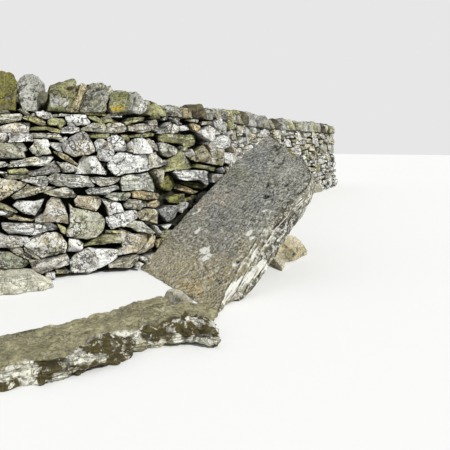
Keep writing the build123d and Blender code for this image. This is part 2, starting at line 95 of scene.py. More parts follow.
# Stones of the near face as they show in the photograph: look, then the corners in turn as x, y
NEAR_STONES = [
    # under the cope
    ("tan", (-7, 105, 2, 106, 9, 112.5, -7, 112.5)),
    ("green", (8, 105.3, 20, 104.8, 30, 113.7, 29.5, 115, 26, 114.6, 19, 110, 14, 107.3)),
    ("white", (34, 109, 38, 105, 45, 105.5, 49.3, 110.7, 52.6, 117.7, 44.5, 117.7, 38, 115.3, 34.5, 112.5)),
    ("grey", (31.8, 112, 34, 111.5, 36.5, 115.6, 32, 115.6)),
    ("white", (53.4, 113.5, 61, 110.7, 68, 111.8, 71, 115.6, 64, 116.2, 54.2, 116)),
    ("olive", (71, 109, 78, 109.5, 92, 112.3, 107, 113, 106.5, 115.5, 90, 115, 80, 112.5, 71, 111.4)),
    # first course
    ("green", (-7, 114.2, 19, 114, 22, 117.2, 19, 120.2, 10.5, 121.5, 3, 123, -7, 122)),
    ("olive", (22.2, 117.8, 30.4, 116.1, 41.2, 117.5, 46.6, 122.4, 46, 124.8, 41.2, 125, 30.4, 120.5)),
    ("olive", (47.2, 122.6, 52, 118.6, 62.3, 118.9, 66.4, 122.1, 59.6, 127.6, 57.5, 125.6, 48.8, 124.3)),
    ("white", (66.8, 117, 72, 115.3, 84.5, 115.3, 88.5, 121.8, 87.5, 124.1, 80, 124.5, 76, 126, 70, 125.4,
        67.4, 122)),
    ("olive", (88.3, 116.8, 94.8, 116, 101.8, 119.9, 103.4, 122.8, 99.9, 122.4, 91.6, 118.9)),
    ("olive", (102.2, 117.6, 111.3, 117.3, 119.6, 121.1, 115.8, 122.3, 105.6, 122.3)),
    ("olive", (128.2, 121.8, 132.4, 117.9, 142.6, 117, 146, 117.6, 144, 120.5, 135, 122.4, 129.2, 124.6)),
    ("tan", (1, 127, 8, 124.5, 21.7, 122.3, 28.2, 123.4, 29.7, 127, 27, 132.2, 16.3, 132.8, 1.6, 131.9)),
    ("olive", (30.4, 128.3, 36.9, 127, 48.8, 126.7, 59.4, 130.2, 58.3, 132.4, 51.5, 131.6, 47.2, 130, 32.5,
        129.7)),
    ("white", (60.8, 130.5, 63.4, 127.6, 74.8, 127, 79.8, 128.8, 79.2, 131.2, 70.5, 133.2, 62.5, 132.4)),
    ("green", (82, 128.8, 93.5, 123.6, 103.7, 123.9, 106.7, 126.2, 106.7, 131.6, 102.4, 132.2, 94, 131, 82,
        130.4)),
    ("tan", (107.7, 126, 110.7, 123.2, 121.6, 123.1, 130.3, 126.9, 130.5, 130.4, 124.7, 131.7, 117, 132.4,
        109.4, 132.4)),
    ("brown", (131.4, 126.9, 133.7, 124.5, 144.5, 124.2, 151.3, 125.6, 150.7, 130.5, 142.6, 132.4, 132.2,
        130.2)),
    ("grey", (152.4, 126.9, 157.3, 125.8, 163, 130, 161, 131.4, 154.7, 129.8)),
    # the course of the white block
    ("brown", (-7, 133.6, 4.9, 133.6, 8, 136.2, 8, 141, 5.4, 142.2, -7, 141.8)),
    ("white", (9.3, 134.6, 10.8, 133.7, 30.4, 133.6, 31.7, 135.1, 31.7, 140.9, 9.3, 141.8)),
    ("pale", (32.8, 133.4, 48.8, 133.5, 57, 134.1, 60.8, 137.8, 59.2, 139.7, 54.2, 138.4, 47.7, 137.8,
        35.2, 137.3)),
    ("tan", (60, 140, 65, 137.5, 67.6, 137.9, 62.8, 142.2, 60.7, 142.4)),
    ("slate", (63.6, 142.7, 70, 138, 80.2, 133.2, 83.9, 132.5, 88.2, 135.8, 93.9, 148, 93.7, 151, 87.8,
        153.9, 75, 155.8, 67.8, 152.8, 63.8, 148.7)),
    ("olive", (89.6, 134.5, 94, 133.5, 109.2, 133.8, 109.6, 136.8, 106.6, 138.1, 91.9, 137.8)),
    ("slate", (95.6, 143.5, 99.2, 139.5, 103.7, 139.8, 111.2, 144.3, 114.1, 150.5, 113.2, 155.2, 108.7,
        159.6, 105, 160.8, 97.6, 157.8, 98.2, 152.4)),
    ("white", (109.8, 139.8, 112.2, 136, 119, 135.1, 123.9, 139, 127, 146, 130.6, 149.5, 122.2, 150.8, 116,
        151.4, 113.7, 146)),
    ("olive", (123.8, 135.6, 129.6, 135.4, 132.6, 140.6, 130.5, 141, 126, 138.4)),
    ("brown", (129.6, 146, 133.9, 141.8, 135.6, 147.6, 134.8, 151.4, 130.8, 151.2)),
    ("white", (135.9, 148.6, 136.9, 142.2, 138.6, 139.2, 142.6, 138.7, 146.2, 141, 151.2, 149.8, 151,
        152.6, 144.5, 153.3, 138, 153.3)),
    ("olive", (133, 135.9, 145.2, 133.4, 151.5, 131.9, 156.4, 133.4, 155.8, 135.7, 147, 136.7, 135.6,
        137.3)),
    ("brown", (148, 138.6, 154, 138.9, 159.8, 142.4, 163.6, 145.6, 162.2, 150.6, 155.4, 149, 151.5, 144.1)),
    # left of the big pale stones
    ("green", (-7, 143.4, 21.1, 143.4, 24.2, 146.5, 26.2, 150.1, 22.8, 151.9, 25.2, 157.4, -7, 157.8)),
    ("pale", (30.6, 148.1, 34.9, 142.4, 33.6, 139.9, 46.1, 140.2, 48.6, 145.4, 47.6, 148, 49.6, 152.6,
        44.5, 153.9, 39, 155.3, 33, 153.3)),
    ("grey", (49, 143, 60.6, 144, 62.3, 151.9, 57.5, 150.4, 52.8, 147)),
    ("ochre", (55, 152.1, 60.2, 152.7, 67.8, 156.5, 77.6, 164, 76.6, 165, 70.5, 162.5, 60.7, 157.6)),
    ("pale", (10, 165.8, 12.5, 161.3, 23.3, 160.3, 26, 158.3, 41.2, 156.5, 51, 156.5, 52.9, 157.9, 50.2,
        162, 46.6, 165.5, 30.4, 165.8, 10.8, 167)),
    ("pale", (-7, 162.2, 3.3, 162.3, 9.2, 164.9, 4.3, 166.8, -7, 167.4)),
    ("white", (81, 162, 84.8, 156.8, 95.8, 157.3, 98.9, 161.6, 103.4, 166.6, 107.1, 171.5, 106, 174.4,
        94.1, 173.6, 79.4, 173.6, 80.4, 167.1)),
    ("white", (109.1, 164.5, 113.5, 158.3, 119.6, 153, 129.2, 153, 138.8, 155.8, 147.6, 154.8, 149.8,
        158.8, 150.4, 168.8, 143.9, 170.6, 136.9, 171.9, 127.3, 173.1, 119.6, 175.4, 114.1, 172.5, 111,
        168.8)),
    ("pale", (151, 158.8, 151.7, 155.2, 157.9, 155.8, 162, 160.1, 160.8, 165.5, 152, 168.7)),
    ("grey", (29.5, 172, 41.2, 169.5, 48.2, 165.3, 54.6, 161.6, 58, 163.7, 62.2, 170.6, 59.4, 172.2, 52,
        174.4, 33.6, 175.9, 30.6, 174)),
    ("grey", (56.6, 161.7, 62.3, 163.5, 67.2, 162.5, 77.1, 168.2, 75.7, 171.2, 64.2, 171.5, 60.4, 166)),
    ("white", (77, 169, 79.3, 164.4, 79.3, 172.5, 78.2, 173.8, 76.3, 173.4)),
    ("olive", (9, 170.6, 23.3, 168.7, 28.4, 172, 21.7, 173.9, 10.8, 173.9)),
    ("green", (1.8, 173.5, 12.6, 175.6, 28.4, 174.8, 28.6, 177.6, 23.2, 179.1, 6.3, 179.1)),
    ("pale", (-7, 170.8, 6, 172.6, 1, 173.2, -7, 171.9)),
    # under them
    ("tan", (-7, 177.8, 8.9, 179.9, 25.6, 183.7, 21.1, 188.6, 12.6, 192.8, 2.1, 199.6, -7, 200.6)),
    ("grey", (21.4, 180.5, 30.2, 177.9, 44.9, 176.8, 48, 180.4, 46.1, 185.2, 39.3, 185.6, 31.6, 182.9)),
    ("pale", (48.8, 178.3, 56.1, 173.2, 60.3, 174.5, 74.4, 175.4, 88.1, 177.1, 93.6, 185.2, 92.2, 187.2,
        84.9, 186.5, 73.6, 187.5, 65.2, 185.8, 58.2, 185.8, 52, 183)),
    ("tan", (90.8, 178.6, 98.2, 177.7, 122.9, 178, 117.1, 182.8, 111.5, 184.7, 101, 186, 98.2, 183.6, 94.3,
        182.3)),
    ("white", (88.4, 191.3, 93.2, 188.8, 103.1, 187.8, 118.3, 185.8, 119.9, 189.6, 114.3, 191.1, 104.5,
        194.8, 89.9, 193.5)),
    ("pale", (123.3, 178.2, 129.7, 176, 140.3, 174.5, 151.9, 173.2, 156.6, 179.2, 158.3, 188.2, 157.9,
        191.5, 148.7, 189.9, 136.8, 189.9, 125.8, 190.8, 124.4, 185.4)),
    ("tan", (154.9, 173, 156.8, 169.6, 162.6, 170.9, 163.6, 179.8, 161.1, 182.3, 158.4, 179.3)),
    ("tan", (13.6, 196.4, 21.8, 189.8, 28.1, 185.3, 31.6, 187.1, 44.9, 187.1, 54.9, 187.8, 50.5, 190.7,
        38.6, 193.5, 29.5, 196.3, 16.1, 199.1)),
    ("green", (44.7, 193.1, 54, 189.9, 65.3, 187.9, 70.7, 189.8, 77.5, 196.4, 75, 198, 63.2, 198, 51.9,
        195.7)),
    ("green", (107, 197.1, 110.1, 194.3, 119.9, 193.4, 134.2, 193.4, 132.9, 196.4, 126.9, 200.5, 117.1,
        200.8)),
    ("ochre", (135, 192.7, 141, 191.4, 159.2, 193.4, 161, 195.2, 159, 198.4, 149.4, 199.8, 136.2, 197.7)),
    ("tan", (76.7, 200.8, 79.4, 197, 98.2, 197, 101.7, 200.1, 100.7, 205, 95.8, 210.6, 88.3, 209.6, 78,
        206.2)),
    ("white", (103.5, 199.8, 114.3, 201.7, 122.4, 204.6, 125.2, 211.8, 117.8, 212.4, 110.3, 214.8, 108.3,
        208.5)),
    ("brown", (127.3, 205, 132.5, 200, 148.4, 201.7, 148.4, 206.2, 142.4, 209.6, 129.2, 208.3)),
    ("ochre", (149.2, 204.4, 159.2, 200.4, 161.7, 203.6, 155.7, 207.2, 150.4, 206.2)),
    ("white", (15, 206.4, 19.1, 202.4, 35.1, 202.4, 42.4, 200.5, 39.7, 207.8, 34.9, 215.5, 24.6, 213.1,
        18.4, 209)),
    ("brown", (48.7, 202.9, 52.1, 199.1, 60.2, 199.8, 63.6, 204.3, 67, 214.1, 68.8, 224.2, 61.8, 221.9,
        37.5, 222.2, 36.9, 218.4, 44.5, 214.2)),
    ("olive", (-7, 201.2, 6.3, 206, 15, 211.1, 13.3, 211.8, -7, 205.6)),
    ("white", (-7, 209.3, 4.2, 210.8, 10.9, 213.4, 6.3, 215, -7, 215.6)),
    ("ochre", (2.4, 216.3, 14, 215.1, 23.2, 218.6, 34.7, 221, 28.8, 221.6, 10.5, 219.5)),
    ("green", (70.3, 205, 74.4, 209.4, 89, 211.6, 98.2, 213.7, 105.6, 220.5, 103.8, 231.5, 99.4, 237.6,
        87.6, 238.7, 76, 237.7, 67.7, 236.3, 67, 231.7, 71.2, 225.4, 71.2, 214)),
    ("white", (107.7, 218.4, 114.3, 215.9, 124.1, 213.8, 131.1, 211.4, 137.3, 211.6, 139.9, 216.9, 132.5,
        221.5, 125.5, 226.5, 118.5, 227.2, 112.4, 229.2, 109.8, 224.7)),
    ("tan", (142.3, 212.8, 148.7, 209.5, 156.2, 210.2, 160, 215.6, 159.6, 223.2, 150.8, 221.2, 144.7,
        220.1)),
    ("green", (127, 226.7, 134.6, 221.5, 145.2, 222.9, 153.8, 232.2, 150.6, 233.1, 138.2, 231.4, 133.2,
        227.9)),
    ("white", (155.7, 226.3, 158.2, 227.3, 164.1, 234, 162, 234.6, 157, 229.6)),
    ("white", (3.3, 224.2, 30.9, 224.2, 52.6, 224.6, 56.4, 228.3, 55.8, 230.7, 48.2, 231.1, 33, 235.5,
        18.2, 234.9, 10.5, 234.9, 4.5, 229.6)),
    ("olive", (57.9, 224.4, 65.2, 228.4, 64.8, 233.8, 61.2, 232, 58.2, 227)),
    ("grey", (-7, 231.4, 4.2, 236.2, 26, 238.3, 26.3, 242.7, 21.1, 246.7, 9.1, 248.1, -7, 247.5)),
    ("pale", (23.6, 246.2, 29.6, 240.5, 41.4, 235.6, 58.2, 233.6, 62.2, 236.7, 65.9, 244.3, 65, 253, 53.3,
        256.5, 43.5, 258.6, 36.7, 255.9, 31.1, 251)),
    ("white", (69.8, 251.7, 70.5, 239.8, 77.9, 239.8, 83.1, 245.1, 81.8, 251.7, 75.8, 252.7)),
    ("olive", (85.7, 246.5, 93.2, 241.8, 103.1, 235.7, 115.5, 235, 122.8, 242, 110.1, 242.6, 104.5, 244.6,
        96, 245.4)),
    ("olive", (106.6, 231.2, 121.1, 231.3, 119.2, 233.4, 107, 233.9)),
    ("tan", (119.7, 236, 123.4, 230, 129.7, 232.1, 134.6, 234.2, 148.7, 234.2, 152.5, 236.7, 149.2, 243.4,
        140.3, 252.3, 131.1, 253, 118.9, 255.8, 119.3, 250.9, 125.5, 248, 124.4, 240.9)),
    ("tan", (142.8, 253.9, 149.5, 246.2, 154.6, 236.2, 158.4, 233.6, 160.2, 238, 156.2, 246, 149.4, 252.3,
        145.2, 254.7)),
    ("brown", (8.5, 250, 21.1, 249.5, 26, 253.4, 31.4, 258.4, 27, 259.3, 16.1, 255.3)),
    ("brown", (24.4, 248.2, 31, 252.2, 39.6, 258.6, 38.4, 259.4, 33.4, 258, 27, 253)),
    ("green", (-7, 253, 9.1, 253.8, 18.2, 258, 29.6, 263.2, 23.2, 267.8, 17.5, 268.5, -7, 268.1)),
    ("brown", (30.8, 260.2, 39.3, 260.9, 53.3, 258.8, 65.6, 255.4, 67.7, 259, 67.1, 264.3, 53.3, 268.6,
        42.1, 273.4, 34, 270)),
    ("white", (71.2, 262, 76, 256, 89, 248.5, 96, 249.6, 104.5, 249.6, 116.8, 250.4, 115.8, 258.2, 108.5,
        262.8, 96, 269.8, 89, 273.4, 75, 272.6, 71.2, 272)),
    ("tan", (110.4, 263.4, 116.4, 260.6, 124.1, 258, 136.8, 255.3, 139.2, 257, 136.5, 262.2, 131.1, 266.4,
        111, 267.4)),
    ("white", (140.6, 258.3, 143.1, 256.6, 145.4, 257.8, 142.4, 260)),
    ("grey", (135, 264.4, 138.9, 261.5, 140.6, 263.2, 137.8, 266.6)),
    # right of the bend, up to the slab
    ("olive", (163.4, 135.5, 167.9, 134.4, 178.2, 134.4, 188, 136, 194.5, 134.4, 197.8, 136, 198.6, 141.1,
        197.4, 144.6, 191.2, 147.6, 183.6, 143.4, 176, 142.8, 165.2, 141.3)),
    ("grey", (161.2, 132.6, 164.8, 128.9, 169.8, 123.2, 172.3, 125.6, 170.2, 132, 164.6, 133.6)),
    ("pale", (173.3, 129, 177.1, 124.9, 179.9, 127.5, 178.8, 132.5, 173.4, 133.2)),
    ("grey", (169, 115.4, 173.9, 115.4, 180.4, 119.2, 186.3, 123.8, 182.5, 124.8, 178.2, 122.8, 173.9,
        118.7)),
    ("white", (181.2, 127, 185.2, 125.4, 189.7, 127.7, 190, 129.5, 182.2, 130.5)),
    ("ochre", (192, 124.4, 197.7, 123.2, 202.2, 126.5, 201.6, 129.4, 197.7, 130.9, 193.6, 129.4)),
    ("white", (198.6, 132.4, 203.1, 130, 208.5, 125.9, 214.1, 128.8, 213.6, 134, 214.6, 139.2, 207.5,
        140.7, 202.2, 136.5)),
    ("brown", (215.3, 128.8, 221.8, 127.9, 222.2, 132.7, 217.8, 134.8)),
    ("white", (215.3, 141.9, 218.5, 138.1, 225.9, 135, 231.3, 135.5, 234.6, 138.6, 234.6, 146.1, 228,
        148.8, 222, 147.2)),
    ("ochre", (195, 158.4, 202.2, 149.6, 207.5, 144.3, 209.6, 146.4, 214.6, 157, 209, 162.2, 201.5, 161.3)),
    ("tan", (209.2, 143.4, 212.3, 143.2, 216.1, 147, 220.5, 149.2, 226.6, 151.8, 227.7, 160, 225.4, 165.5,
        219.9, 164.5, 210.4, 162.8, 215.6, 157.4)),
    ("brown", (189.4, 153.9, 195.7, 149.9, 196.8, 153.5, 193.4, 157.8)),
    ("pale", (163.4, 143.6, 166.3, 143.2, 174.4, 146.4, 181.7, 149.9, 180, 154.1, 173.3, 156.8, 168.1,
        155.2, 165, 150.2)),
    ("olive", (165.8, 169.5, 170.9, 164.7, 176.3, 157.8, 182.6, 150.8, 186.7, 152.8, 192, 159.7, 195.6,
        167.4, 192.1, 169.4, 185.2, 168.9, 176, 170.5, 168.6, 172)),
    ("tan", (163, 160.4, 170.6, 160.4, 173.4, 162.2, 170.4, 164.5, 163.6, 165.6)),
    ("moss", (198.7, 167.4, 201.7, 164.3, 212.3, 166.4, 219.9, 167.4, 218.9, 170.6, 214.5, 171, 206.9,
        168.9)),
    ("white", (179, 173, 180.9, 170.8, 193.1, 170.5, 205, 170.8, 209.6, 172.3, 210.5, 176.3, 211.6, 183.6,
        210, 185.2, 207.2, 180.7, 199.6, 179.7, 188.8, 180.7, 183.7, 179.1)),
]
# Stones at the back of the hollow, in the same form
DEEP_STONES = [
    ("lime", (162.2, 182.8, 170.4, 174.1, 177.4, 178.4, 178, 185.5, 174.7, 190.4, 168.2, 189.8, 163.3,
        187.1)),
    ("moss", (182.3, 182.2, 207.2, 183.3, 209, 186, 202.3, 189, 191.5, 186.4)),
    ("ochre", (180.1, 183.9, 186.6, 186.4, 194.2, 189.6, 201.8, 191.4, 193.1, 194.4, 186.6, 191.7, 179.4,
        189.1)),
    ("lime", (170.8, 199, 176.9, 195, 185.2, 194.5, 185.7, 198, 180.1, 202.4, 172.7, 202.4)),
    ("lime", (186.4, 200.1, 196.1, 196.2, 193.5, 199.4, 188.8, 201.4)),
    ("slate", (162, 211, 167.1, 206.9, 174.5, 205.8, 176.5, 208.8, 175.4, 217.2, 170.4, 221.4, 164.7,
        216.2)),
    ("grey", (177.8, 206.6, 186.6, 202.3, 190.6, 203.6, 186.4, 208.6, 182.3, 212.7, 178.7, 210.2)),
    ("pale", (165.3, 226.5, 171.6, 224.9, 167.3, 229.4)),
]
# Outline of the hollow, without a look, which keeps the filling stones out
HOLLOW_OUTLINE = [
    ("", (160, 180, 166, 172, 178, 176, 190, 182, 209, 186, 204, 197, 190, 214, 178, 228, 164, 231, 161,
        214)),
]


# Noise and chance

CELL_PRIMES = (73856093, 19349663, 83492791)      # they scatter the cells of the lattice
SEED_PRIME = 2654435
MIX_PRIME = 1274126177
LATTICE_MASK = 0xFFFFF
FIRST_CELL = 1000.0               # keeps the cells of all places above zero
FINER, WEAKER = 0.47, 0.5         # each layer of rough noise against the one before


def lattice(cell, seed):
    """Repeatable numbers from 0 to 1 for whole-number cells."""
    mixed = seed * SEED_PRIME
    for axis, prime in enumerate(CELL_PRIMES):
        mixed = mixed ^ cell[..., axis] * prime
    mixed = (mixed ^ (mixed >> 13)) * MIX_PRIME
    mixed = mixed ^ (mixed >> 16)
    return (mixed & LATTICE_MASK) / float(LATTICE_MASK)


def noise(points, size, seed=0):
    """Smooth noise from -1 to 1 at points, with features of a size in metres."""
    scaled = np.asarray(points, float) / size + FIRST_CELL
    cell = np.floor(scaled).astype(np.int64)
    part = scaled - cell
    part = part * part * (3 - 2 * part)
    total = np.zeros(scaled.shape[:-1])
    for corner in itertools.product((0, 1), repeat=3):
        weight = 1.0
        for axis, ahead in enumerate(corner):
            weight = weight * (part[..., axis] if ahead else 1 - part[..., axis])
        total += weight * lattice(cell + np.array(corner), seed)
    return total * 2 - 1


def rough(points, size, octaves=3, seed=0):
    """Noise with finer and weaker layers added."""
    total = np.zeros(np.asarray(points).shape[:-1])
    strength = 1.0
    for octave in range(octaves):
        total += strength * noise(points, size, seed + octave)
        size *= FINER
        strength *= WEAKER
    return total


def smooth(low, high, value):
    """0 below low, 1 above high, and a soft step between."""
    share = np.clip((value - low) / (high - low), 0, 1)
    return share * share * (3 - 2 * share)


# The plan of the wall, read from the frame


def row_corners(name, along=None):
    """Corners of a straight piece of the row as [level][end][side], with the row's direction."""
    mesh = CAD[name].data
    points = np.unique(np.round([vertex.co[:] for vertex in mesh.vertices], 5), axis=0)
    middle = points.mean(0)
    if along is None:
        along = np.linalg.svd((points - middle)[:, :2])[2][0]
        along = along * np.sign(along[0])
    inward = np.array([-along[1], along[0]])
    levels = []
    for level in (points[points[:, 2] < middle[2]], points[points[:, 2] > middle[2]]):
        ends = level[np.argsort(level[:, :2] @ along)]
        levels.append([end[np.argsort(end[:, :2] @ inward)] for end in (ends[:2], ends[2:])])
    return np.array(levels), along


def stations():
    """The wall's outer lines at each station: foot points and inward slopes, front and back."""
    lines = []
    for bay in range(1, BAYS + 1):
        back, along = row_corners(f"bay_{bay}_back_face")
        heart, _ = row_corners(f"bay_{bay}_hearting", along)
        if bay == 1:
            end, _ = row_corners("left_end", along)
            lines.append((end[:, 0, 0], end[:, 0, 1]))
        lines.append((heart[:, 1, 0] - back[:, 1, 1] + back[:, 1, 0], back[:, 1, 1]))
    feet, slopes = [], []
    for sides in lines:
        for low, high in sides:
            slope = (high - low)[:2] / (high - low)[2]
            slopes.append(slope)
            feet.append(low[:2] - slope * low[2])
    return np.array(feet).reshape(-1, 2, 2), np.array(slopes).reshape(-1, 2, 2)


class Strip:
    """The outer face once round the wall: a place is (distance along its foot, height, out)."""

    ARC_STEPS = 12        # of the rounded right end
    MITRE_REACH = 0.25    # distance from a bend within which a step outwards turns to its mitre

    def __init__(self):
        feet, slopes = stations()
        self.feet, self.slopes = list(feet[:, 0]), list(slopes[:, 0])
        centre = (feet[-1, 0] + feet[-1, 1]) / 2
        radius = np.linalg.norm(feet[-1, 0] - centre)
        lean = np.linalg.norm(slopes[-1, 0])
        first = math.atan2(*(feet[-1, 0] - centre)[::-1])
        for step in range(1, self.ARC_STEPS):
            angle = first + math.pi * step / self.ARC_STEPS
            ray = np.array([math.cos(angle), math.sin(angle)])
            self.feet.append(centre + ray * radius)
            self.slopes.append(-ray * lean)
        self.feet += list(feet[::-1, 1])
        self.slopes += list(slopes[::-1, 1])
        self.feet, self.slopes = np.array(self.feet), np.array(self.slopes)
        steps = np.roll(self.feet, -1, 0) - self.feet
        lengths = np.linalg.norm(steps, axis=1)
        self.marks = np.concatenate([[0], np.cumsum(lengths)])
        self.length = self.marks[-1]
        self.normals = np.stack([steps[:, 1], -steps[:, 0]], 1) / lengths[:, None]
        before = np.roll(self.normals, 1, 0)
        self.mitres = (before + self.normals) / (1 + (before * self.normals).sum(1))[:, None]
        self.back_end = self.marks[2 * BAYS + self.ARC_STEPS]

    def place(self, along, height, out):
        """Points in the frame for places or arrays of places."""
        along, height, out = (np.asarray(value, float) for value in (along, height, out))
        along = along % self.length
        span = np.clip(np.searchsorted(self.marks, along, "right") - 1, 0, len(self.feet) - 1)
        after = (span + 1) % len(self.feet)
        size = self.marks[span + 1] - self.marks[span]
        share = ((along - self.marks[span]) / size)[..., None]
        foot = self.feet[span] * (1 - share) + self.feet[after] * share
        slope = self.slopes[span] * (1 - share) + self.slopes[after] * share
        reach = np.minimum(self.MITRE_REACH, size / 2)[..., None]
        from_start = np.clip(share * size[..., None] / reach, 0, 1)
        from_end = np.clip((1 - share) * size[..., None] / reach, 0, 1)
        away = self.normals[span]
        away = away * from_start + self.mitres[span] * (1 - from_start)
        away = away * from_end + self.mitres[after] * (1 - from_end)
        plan = foot + slope * height[..., None] + away * out[..., None]
        return np.concatenate([plan, height[..., None]], -1)

    def span_of(self, along):
        """Name of the stretch of wall that a distance lies in."""
        span = int(np.searchsorted(self.marks, along % self.length, "right")) - 1
        if span < BAYS:
            return f"bay_{span + 1}_front"
        if span < BAYS + self.ARC_STEPS:
            return "round_end"
        if span < 2 * BAYS + self.ARC_STEPS:
            return f"bay_{2 * BAYS + self.ARC_STEPS - span}_back"
        return "left_end"


def camera_axes():
    """Right, up and forward directions of the camera."""
    heading, drop = math.radians(CAMERA_HEADING), math.radians(CAMERA_DROP)
    level = np.array([math.cos(heading), math.sin(heading), 0])
    forward = level * math.cos(drop) - np.array([0, 0, math.sin(drop)])
    right = np.array([math.sin(heading), -math.cos(heading), 0])
    return right, np.cross(right, forward), forward


def sight(x, y):
    """The direction in which the camera sees a point of the photograph."""
    right, up, forward = camera_axes()
    return forward + right * (x - PHOTO_MIDDLE) / FOCAL - up * (y - PHOTO_MIDDLE) / FOCAL


def shown_at(points):
    """Places in the photograph at which points of the frame are seen."""
    right, up, forward = camera_axes()
    step = points - CAMERA_PLACE
    away = step @ forward
    return np.stack([PHOTO_MIDDLE + FOCAL * (step @ right) / away,
                     PHOTO_MIDDLE - FOCAL * (step @ up) / away], -1)


SIGHT_ROUNDS = 4          # enough to find where a line of sight meets a face whose slope changes
BEND_MARGIN = 0.03        # share of a bay's length by which a sighted place may lie past a bend
END_MARGIN = 0.25         # and past the plumb left end


def on_front(strip, x, y, out=0.0):
    """Place on the strip, a step out from the wall's front, under a point of the photograph."""
    ray = sight(x, y)
    best = None
    for bay in range(BAYS):
        foot = np.append(strip.feet[bay] + strip.normals[bay] * out, 0)
        side = np.append(strip.feet[bay + 1] - strip.feet[bay], 0)
        share = 0.5
        for _ in range(SIGHT_ROUNDS):
            slope = strip.slopes[bay] * (1 - share) + strip.slopes[bay + 1] * share
            # camera + ray * reach = foot + side * share + (slope, 1) * height
            share, height, reach = np.linalg.solve(
                np.stack([side, np.append(slope, 1), -ray], 1), CAMERA_PLACE - foot)
            share = min(max(share, -1), 2)
        margin = BEND_MARGIN if bay else END_MARGIN
        if -margin <= share <= 1 + BEND_MARGIN and reach > 0 and (best is None or reach < best[2]):
            best = (strip.marks[bay] + share * np.linalg.norm(side), height, reach)
    return best[:2]


# Laying out the stones of the faces


def radius_towards(corners, angles):
    """How far an outline round the origin reaches in each direction."""
    rays = np.stack([np.cos(angles), np.sin(angles)], -1)[..., None, :]
    sides = np.roll(corners, -1, 0) - corners
    turn = rays[..., 0] * sides[:, 1] - rays[..., 1] * sides[:, 0]
    turn = np.where(np.abs(turn) < 1e-12, 1e-12, turn)
    reach = (corners[:, 0] * sides[:, 1] - corners[:, 1] * sides[:, 0]) / turn
    share = (corners[:, 0] * rays[..., 1] - corners[:, 1] * rays[..., 0]) / turn
    met = (share > -1e-6) & (share < 1 + 1e-6) & (reach > 0)
    return np.where(met, reach, 0).max(-1)


